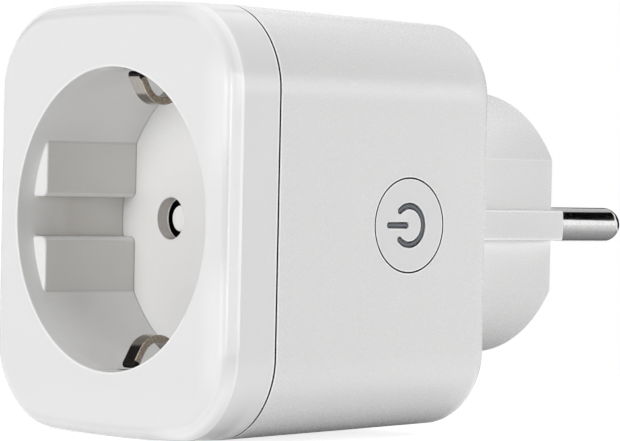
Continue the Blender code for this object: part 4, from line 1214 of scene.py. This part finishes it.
    @staticmethod
    def end_face(front_row, back_row, top):
        """End of the boss in three fields, each round one hole: the two pins and the earth contact above."""
        count = len(front_row)
        turns = turn_of(front_row[:, (0, 2)])
        shift = int(np.sum((turns > np.pi / 2 - END_FACE_SPREAD) & (turns < np.pi / 2)))
        right, left, bottom = top - shift, top + shift, 3 * top
        fields = [(np.arange(bottom - count, right + 1), (PIN_PITCH / 2, 0.0), PIN_RADIUS),
                  (np.arange(right, left + 1), (0.0, EARTH_SOCKET_HEIGHT), EARTH_SOCKET_BORE),
                  (np.arange(left, bottom + 1), (-PIN_PITCH / 2, 0.0), PIN_RADIUS)]
        sheets = []
        for columns, middle, radius in fields:
            bounds = []
            for row in (front_row, back_row):
                rim = row[columns % count]
                join = np.array((0.0, rim[0][1], END_FACE_JOIN))
                bounds.append(np.concatenate([rim, span(rim[-1], join, JOIN_STEPS)[1:],
                                              span(join, rim[0], JOIN_STEPS)[1:-1]]))
            field_turns = turn_of(bounds[0][:, (0, 2)] - np.array(middle))
            rings = [circle_row(field_turns, radius + PIN_HOLE_GAP, depth) + (middle[0], 0.0, middle[1])
                     for depth in (front_row[0][1], back_row[0][1])]
            sheets.append(sleeve(bounds[0], bounds[1], rings))
        return sheets


class METER_OT_button(bpy.types.Operator):
    """Button cap that lies flush with the drafted side, and the power symbol inlaid in its face"""
    bl_idname = "meter.button"
    bl_label = "Button and power symbol"

    def execute(self, context):
        sizes = shape()
        face = side_face(BUTTON_DEPTH)
        flange = face - FLANGE_SETBACK
        turns = full_turn()
        edge = sizes.button_edge
        profile = [(0.0, face), (BUTTON_FACE, face)]
        profile += [(BUTTON_RADIUS - edge * left, face - edge * gone) for gone, left in quarter_round()]
        profile += [(BUTTON_RADIUS, flange), (FLANGE_RADIUS, flange), (FLANGE_RADIUS, flange - FLANGE_THICK),
                    (STEM_RADIUS, flange - FLANGE_THICK), (STEM_RADIUS, STEM_END), (0.0, STEM_END)]
        rows = []
        for radius, x in profile:
            depth = BUTTON_DEPTH + radius * np.cos(turns)
            lean = side_face(depth) - face if x > flange else 0.0
            rows.append(np.stack([x + lean + 0.0 * depth, depth, radius * np.sin(turns)], -1))
        cap = link_mesh("button_cap", *sheet(rows))

        start = LEGEND_OPENING / 2 - np.pi
        ring = arc(LEGEND_RADIUS, start, -start, LEGEND_STEPS, (BUTTON_DEPTH, 0.0))
        bar = span((BUTTON_DEPTH + LEGEND_BAR[0], 0.0), (BUTTON_DEPTH + LEGEND_BAR[1], 0.0), SHORT_STEPS)
        finish = grey_inlay("legend grey", colours().legend)
        cutters = []
        for name, line in (("ring", ring), ("bar", bar)):
            cutters.append(link_mesh(f"recess_{name}", *stroke(
                line, LEGEND_HALF + LEGEND_GAP, face - LEGEND_DEPTH - LEGEND_GAP, face + MM, RECESS_EDGE)))
            points, faces = stroke(line, LEGEND_HALF, face - LEGEND_DEPTH, face - sizes.legend_sink,
                                   LEGEND_EDGE)
            points[:, 0] += side_face(points[:, 1]) - face
            inlay = link_mesh(f"legend_{name}", points, faces)
            self.mark_rim(inlay, line)
            finish_piece(inlay, finish, "button", "legend", f"button_legend_{name}")
        cut_away(cap, cutters)
        paint = white_moulding("button white", colours().button, roughness=0.3, grain=0.2, depth=0.008,
                               layers=button_layers)
        finish_piece(cap, paint, "button", "button", "power_button")
        return {"FINISHED"}

    @staticmethod
    def mark_rim(inlay, line):
        """Store how far each point lies from the symbol's line: 0 on the line, 1 at the stroke's edge."""
        count = len(inlay.data.vertices)
        points = np.empty(count * 3)
        inlay.data.vertices.foreach_get("co", points)
        flat = (points.reshape(-1, 3) - ORIGIN)[:, 1:]
        fine = np.concatenate([span(first, last, RIM_STEPS) for first, last in zip(line[:-1], line[1:])])
        away = np.linalg.norm(flat[:, None] - fine[None], axis=2).min(1) / LEGEND_HALF
        inlay.data.attributes.new("rim", "FLOAT", "POINT").data.foreach_set("value", away)


class METER_OT_shutter(bpy.types.Operator):
    """Shutter behind the pin holes: a bar with round ends on a hub"""
    bl_idname = "meter.shutter"
    bl_label = "Shutter"

    def execute(self, context):
        turns = full_turn(4 * ROUND_STEPS)
        across, up = np.abs(np.cos(turns)), np.abs(np.sin(turns))
        end = SHUTTER_END - SHUTTER_HALF
        to_side = SHUTTER_HALF / np.maximum(up, TINY)
        to_end = end * across + np.sqrt(np.maximum(SHUTTER_HALF ** 2 - (end * up) ** 2, 0.0))
        reach = np.maximum(np.where(to_side * across <= end, to_side, to_end), HUB_RADIUS)
        rows = [circle_row(turns, SHUTTER_BORE, SHUTTER_BACK), circle_row(turns, SHUTTER_BORE, SHUTTER_FRONT)]
        rows += [circle_row(turns, reach - SHUTTER_EDGE * left, SHUTTER_FRONT + SHUTTER_EDGE * gone)
                 for gone, left in quarter_round()]
        rows += [circle_row(turns, reach, SHUTTER_BACK), rows[0]]
        finish = white_moulding("shutter white", colours().shutter, roughness=0.3, grain=0.3, depth=0.003)
        made = link_mesh("shutter_bar", *sheet(rows))
        finish_piece(made, finish, "shutter", "shutter", "shutter")
        return {"FINISHED"}


class METER_OT_contacts(bpy.types.Operator):
    """Earth clips in the well, earth straps on the boss, plug pins and the earth contact of the plug"""
    bl_idname = "meter.contacts"
    bl_label = "Pins, clips and straps"

    def execute(self, context):
        sizes = shape()
        tone, edge = colours().nickel, sizes.strip_edge
        drawn = (1.0, 0.1, 0.1)
        clip = plated("clip nickel", colours().clip, roughness=0.14, stretch=drawn, raw_from=CLIP_HALF - edge,
                      clip_end=True)
        strap = plated("strap nickel", tone, roughness=0.2, stretch=drawn, raw_from=STRAP_HALF - edge)
        pin = plated("pin nickel", tone, roughness=0.1, stretch=(1.0, 0.06, 1.0))
        self.clips(clip, edge)
        self.straps(strap, edge)
        self.pins(pin)
        start = PIN_SEAT - EARTH_SOCKET_LENGTH
        profile = [(EARTH_SOCKET_VENT, start), (EARTH_SOCKET_RADIUS, start), (EARTH_SOCKET_RADIUS, PIN_SEAT),
                   (EARTH_SOCKET_BORE, PIN_SEAT), (EARTH_SOCKET_BORE, start + EARTH_SOCKET_WALL),
                   (EARTH_SOCKET_VENT, start + EARTH_SOCKET_WALL)]
        cup = link_mesh("earth_cup", *turned(profile, (0.0, EARTH_SOCKET_HEIGHT), SMALL_STEPS, closed=True))
        brass = tinted("cup brass", colours().brass, roughness=0.3, grain=0.2, metallic=1.0)
        finish_piece(cup, brass, "shell", "brass", "plug_earth_socket")
        return {"FINISHED"}

    @staticmethod
    def clips(finish, edge):
        """Each clip is a straight lead, a round bend towards the well's middle, a straight tail and a root.

        Bend points are peak + bend * (sin t, -cos t), with the lead and the tail tangent at its two ends."""
        turn = np.linspace(-CLIP_LEAD, CLIP_SLOPE, BEND_STEPS)
        bend = (CLIP_PEAK, CLIP_BEND_LEVEL) + CLIP_BEND * np.stack([np.sin(turn), -np.cos(turn)], -1)
        ahead = np.array((-math.cos(CLIP_LEAD), math.sin(CLIP_LEAD)))
        length = (CLIP_END_LEVEL - bend[0, 1]) / math.sin(CLIP_LEAD) - CLIP_THICK_HALF
        tail = bend[-1] + (CLIP_TAIL - bend[-1, 0]) * np.array((1.0, math.tan(CLIP_SLOPE)))
        knee = np.array((CLIP_ROOT - CLIP_THICK_HALF, EARTH_LEVEL))
        rise = corner_arc(knee, tail, knee + (MM, 0.0), CLIP_KNEE, EDGE_STEPS)
        line = np.concatenate([span(bend[0] + ahead * length, bend[0], RUN_STEPS)[:-1], bend,
                               span(bend[-1], tail, RUN_STEPS)[1:],
                               span(tail, rise[0], SHORT_STEPS)[1:-1], rise])
        for way, name in ((1, "top"), (-1, "bottom")):
            made = link_mesh(f"earth_clip_{name}_strip",
                             *stroke(line * (1, way), CLIP_THICK_HALF, -CLIP_HALF, CLIP_HALF, edge))
            finish_piece(made, finish, f"earth_clip_{name}", "nickel", f"socket_earth_clip_{name}")

    @staticmethod
    def straps(finish, edge):
        """Each strap lies in its groove on the boss and turns in through the wall at its front end."""
        turn = np.array((STRAP_FRONT, STRAP_LEVEL))
        back = np.array((STRAP_BACK - STRIP_HALF, STRAP_LEVEL))
        foot = np.array((STRAP_FRONT, STRAP_LEVEL - STRAP_LEG + STRIP_HALF))
        knee = corner_arc(turn, back, foot, STRAP_KNEE, EDGE_STEPS)
        line = np.concatenate([span(back, knee[0], JOIN_STEPS)[:-1], knee,
                               span(knee[-1], foot, EDGE_STEPS)[1:]])
        for way, name in ((1, "top"), (-1, "bottom")):
            made = link_mesh(f"earth_strap_{name}_strip",
                             *stroke(line * (1, way), STRIP_HALF, -STRAP_HALF, STRAP_HALF, edge))
            finish_piece(made, finish, "shell", "nickel", f"plug_earth_strap_{name}")

    @staticmethod
    def pins(finish):
        """Each pin is a round bar with a domed tip; its tail and collar stay inside the boss."""
        start = PIN_SEAT - PIN_COLLAR
        profile = [(0.0, PIN_TAIL_START), (PIN_TAIL_RADIUS, PIN_TAIL_START), (PIN_TAIL_RADIUS, start),
                   (PIN_COLLAR_RADIUS, start), (PIN_COLLAR_RADIUS, PIN_SEAT), (PIN_RADIUS, PIN_SEAT)]
        profile += [(PIN_RADIUS * (1 - gone), PIN_TIP - PIN_RADIUS * left)
                    for gone, left in quarter_round(3 * EDGE_STEPS)]
        for way, name in ((-1, "left"), (1, "right")):
            made = link_mesh(f"pin_{name}", *turned(profile, (way * PIN_PITCH / 2, 0.0)))
            finish_piece(made, finish, "shell", "nickel", f"plug_pin_{name}")


class METER_OT_inside(bpy.types.Operator):
    """Finishes of the solids that stay as they are: the carrier, the boards and what stands on them"""
    bl_idname = "meter.inside"
    bl_label = "Inside parts"

    def execute(self, context):
        brass, lens = colours().brass, colours().legend
        finishes = {
            black_moulding("carrier black", (0.018, 0.018, 0.02), grain=0.25): ("contact_carrier",),
            black_moulding("component black", (0.03, 0.03, 0.03), grain=0.4): (
                "relay", "large_capacitor", "small_capacitor", "inductor", "meter_chip", "rectifier",
                "switch_body"),
            circuit_board("board green"): ("main_board", "radio_board", "switch_board"),
            tinted("film yellow", (0.75, 0.55, 0.08), roughness=0.4, grain=0.6): ("film_capacitor",),
            tinted("epoxy blue", (0.05, 0.15, 0.45), roughness=0.35, grain=0.5): (
                "varistor", "fuse_resistor"),
            tinted("contact brass", brass, roughness=0.3, grain=0.2, metallic=1.0): (
                "socket_contact_left", "socket_contact_right", "earth_bridge", "current_shunt"),
            tinted("zinc steel", (0.55, 0.56, 0.58), roughness=0.35, grain=0.25, metallic=1.0): (
                "radio_shield", "board_screw_left", "board_screw_right", "shutter_spring"),
            grey_inlay("lens grey", lens): ("switch_plunger", "status_led"),
        }
        for finish, nodes in finishes.items():
            for node in nodes:
                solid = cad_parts[node]
                solid.data.materials.clear()
                solid.data.materials.append(finish)
        return {"FINISHED"}


class METER_OT_stage(bpy.types.Operator):
    """Pale floor, even surround, studio lights and the camera"""
    bl_idname = "meter.stage"
    bl_label = "Stage"

    def execute(self, context):
        scene = context.scene
        scene.view_settings.view_transform = "Standard"
        stage = scene.meter_stage
        self.floor(stage.bounce)
        self.surround(scene)
        aim = ORIGIN + (0.0, SHELL_DEPTH / 2, 0.0)
        for name, level, spot, size in LAMPS:
            self.lamp(name, aim, spot, size, getattr(stage, level))
        for name, height, azimuth, size, share in EDGE_LIGHTS:
            self.lamp(name, ORIGIN + (HALF_WIDTH, MM, height), (azimuth, 0.0, EDGE_LIGHT_DISTANCE), size,
                      stage.edge * share, mirrored=True)
        pin = ORIGIN + (PIN_PITCH / 2, (BOSS_END + PIN_TIP) / 2, 0.0)
        aims = {"pin": pin, "tip": pin + (0.0, TIP_AIM, 0.0), "well": ORIGIN + (0.0, GUIDE_START, 0.0)}
        for name, aim, spot, roll, size, glow in CARDS:
            self.card(name, self.facing(aims[aim], spot, math.radians(roll)), size, glow)
        self.camera(scene, stage)
        return {"FINISHED"}

    @staticmethod
    def rays(made, *names):
        """1 for the kinds of ray that are named, such as those from the camera or off a mirror."""
        path = made.node("ShaderNodeLightPath").socket.node
        return sum(Wire(made, path.outputs[f"Is {name} Ray"]) for name in names).above(0.5)

    def floor(self, bounce):
        """A round pale floor; far from the part it is as white as the surround, near it it keeps the shadow.

        Beside the part it also glows for the part's own light and gloss, less and less towards its foot."""
        made = Finish("floor pale")
        distance = made.node("ShaderNodeVectorMath", {"operation": "LENGTH"},
                             {0: made.node("ShaderNodeTexCoord", output="Object")}, output="Value")
        seen = self.rays(made, "Camera", "Glossy", "Transmission")
        across, depth, _ = made.axes()
        beside = (abs(across) - HALF_WIDTH / MM).most(depth - SHELL_DEPTH / MM)
        lit = self.rays(made, "Glossy") * FLOOR_GLOW + self.rays(made, "Diffuse") * bounce
        clear = depth.fall(*FLOOR_FRONT).most(beside.rise(*FLOOR_CLEAR))
        glow = made.mix(self.rays(made, "Camera") * FLOOR_GLOW + lit * clear, BLACK, BRIGHT)
        near = made.node("ShaderNodeAddShader", None, {
            0: made.node("ShaderNodeBsdfDiffuse", None, {"Color": FLOOR_TONE}),
            1: made.node("ShaderNodeEmission", None, {"Color": glow})})
        far = made.node("ShaderNodeEmission", None, {"Color": BRIGHT})
        made.close(made.node("ShaderNodeMixShader", None, {
            0: seen * distance.rise(*FLOOR_FADE), 1: near, 2: far}))
        points, faces = sheet([circle_row(full_turn(), radius, 0.0)[:, (0, 2, 1)] for radius in FLOOR_RINGS])
        stage_sheet("floor", points, faces.tolist() + [list(range(ROUND_STEPS))], made)

    def surround(self, scene):
        """An even surround: white where it is seen, straight on or mirrored, and no light otherwise."""
        scene.world = bpy.data.worlds.new("surround")
        scene.world.use_nodes = True
        made = Finish("surround", scene.world.node_tree)
        strength = self.rays(made, "Camera", "Glossy", "Transmission")
        light = made.node("ShaderNodeBackground", None, {"Color": BRIGHT, "Strength": strength})
        made.node("ShaderNodeOutputWorld", None, {"Surface": light})

    @staticmethod
    def direction(turn, rise):
        """The way towards an azimuth and an elevation: (sin a cos e, -cos a cos e, sin e)."""
        return np.array((math.sin(turn) * math.cos(rise), -math.cos(turn) * math.cos(rise), math.sin(rise)))

    def standing(self, place, turn, rise, roll):
        """A thing at a place with its back towards an azimuth and an elevation, rolled about its own view."""
        back = self.direction(turn, rise)
        right = np.array((math.cos(turn), math.sin(turn), 0.0))
        up = np.cross(back, right)
        right, up = right * math.cos(roll) + up * math.sin(roll), up * math.cos(roll) - right * math.sin(roll)
        axes = Matrix(np.column_stack([right, up, back])).to_quaternion()
        return Matrix.LocRotScale(place, axes, None)

    def facing(self, aim, spot, roll=0.0):
        """A thing at (azimuth, elevation, distance) from an aim, in degrees and metres, turned to face it."""
        turn, rise = math.radians(spot[0]), math.radians(spot[1])
        return self.standing(aim + self.direction(turn, rise) * spot[2], turn, rise, roll)

    def lamp(self, name, aim, spot, size, radiance, mirrored=False):
        """A rectangular light that faces an aim; its power is radiance * pi * area.

        A mirrored one only shows in gloss, and the others don't show there at all, so the surround, the edge
        lights and the cards make every reflection."""
        light = bpy.data.lights.new(name, "AREA")
        light.shape = "RECTANGLE"
        light.size, light.size_y = size
        light.energy = radiance * math.pi * size[0] * size[1]
        made = placed(name, light)
        made.matrix_world = self.facing(aim, spot)
        made.visible_camera = False
        made.visible_diffuse = not mirrored
        made.visible_glossy = mirrored

    @staticmethod
    def card(name, place, size, glow):
        """A dark card that only shows as a band in polished metal; its glow may change across it."""
        half = np.array(size) / 2
        dark = Finish(f"{name} dark")
        first, last = (opaque((level,) * 3) for level in glow)
        tone = first
        if first != last:
            split = dark.node("ShaderNodeSeparateXYZ", None, {
                0: dark.node("ShaderNodeTexCoord", output="Object")})
            share = dark.node("ShaderNodeMapRange", None, {
                "Value": split, "From Min": -half[0], "From Max": half[0]})
            tone = dark.mix(share, first, last)
        dark.close(dark.node("ShaderNodeEmission", None, {"Color": tone}))
        corners = np.array(((-1, -1, 0), (1, -1, 0), (1, 1, 0), (-1, 1, 0))) * (*half, 0.0)
        made = stage_sheet(name, corners, [(0, 1, 2, 3)], dark)
        made.matrix_world = place
        made.visible_camera = made.visible_diffuse = made.visible_shadow = made.visible_transmission = False

    def camera(self, scene, stage):
        """The photograph's camera: where it stands, how it looks past the part, its roll and its lens."""
        view = bpy.data.cameras.new("camera")
        view.sensor_fit = "HORIZONTAL"
        view.sensor_width = SENSOR
        view.lens = SENSOR * FOCAL_PIXELS / IMAGE_WIDTH
        view.clip_start, view.clip_end = CAMERA_RANGE
        made = placed("camera", view)
        turn, rise = stage.azimuth, stage.elevation
        place = ORIGIN + (0.0, CAMERA_AIM, 0.0) + self.direction(turn, rise) * stage.distance
        made.matrix_world = self.standing(place, turn + LOOK_TURN, rise + LOOK_RISE, CAMERA_ROLL)
        scene.camera = made


class METER_PT_panel(bpy.types.Panel):
    """Lists the steps and sizes of the power meter"""
    bl_idname = "METER_PT_panel"
    bl_label = "Power meter"
    bl_space_type = "VIEW_3D"
    bl_region_type = "UI"
    bl_category = "Meter"

    def draw(self, context):
        for operator in OPERATORS:
            self.layout.operator(operator.bl_idname)
        for group in (context.scene.meter_shape, context.scene.meter_colours, context.scene.meter_stage):
            box = self.layout.box()
            for name in group.bl_rna.properties.keys():
                if name not in ("rna_type", "name"):
                    box.prop(group, name)


GROUPS = {"meter_shape": MeterShape, "meter_colours": MeterColours, "meter_stage": MeterStage}
OPERATORS = (METER_OT_cover, METER_OT_casing, METER_OT_button, METER_OT_shutter, METER_OT_contacts,
             METER_OT_inside, METER_OT_stage)


def register():
    for made in (*GROUPS.values(), *OPERATORS, METER_PT_panel):
        bpy.utils.register_class(made)
    for name, group in GROUPS.items():
        setattr(bpy.types.Scene, name, bpy.props.PointerProperty(type=group))


def unregister():
    for name in GROUPS:
        delattr(bpy.types.Scene, name)
    for made in reversed((*GROUPS.values(), *OPERATORS, METER_PT_panel)):
        bpy.utils.unregister_class(made)


def main():
    """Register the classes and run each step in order."""
    register()
    for operator in OPERATORS:
        getattr(bpy.ops.meter, operator.bl_idname.split(".")[1])()


if __name__ == "__main__":
    main()
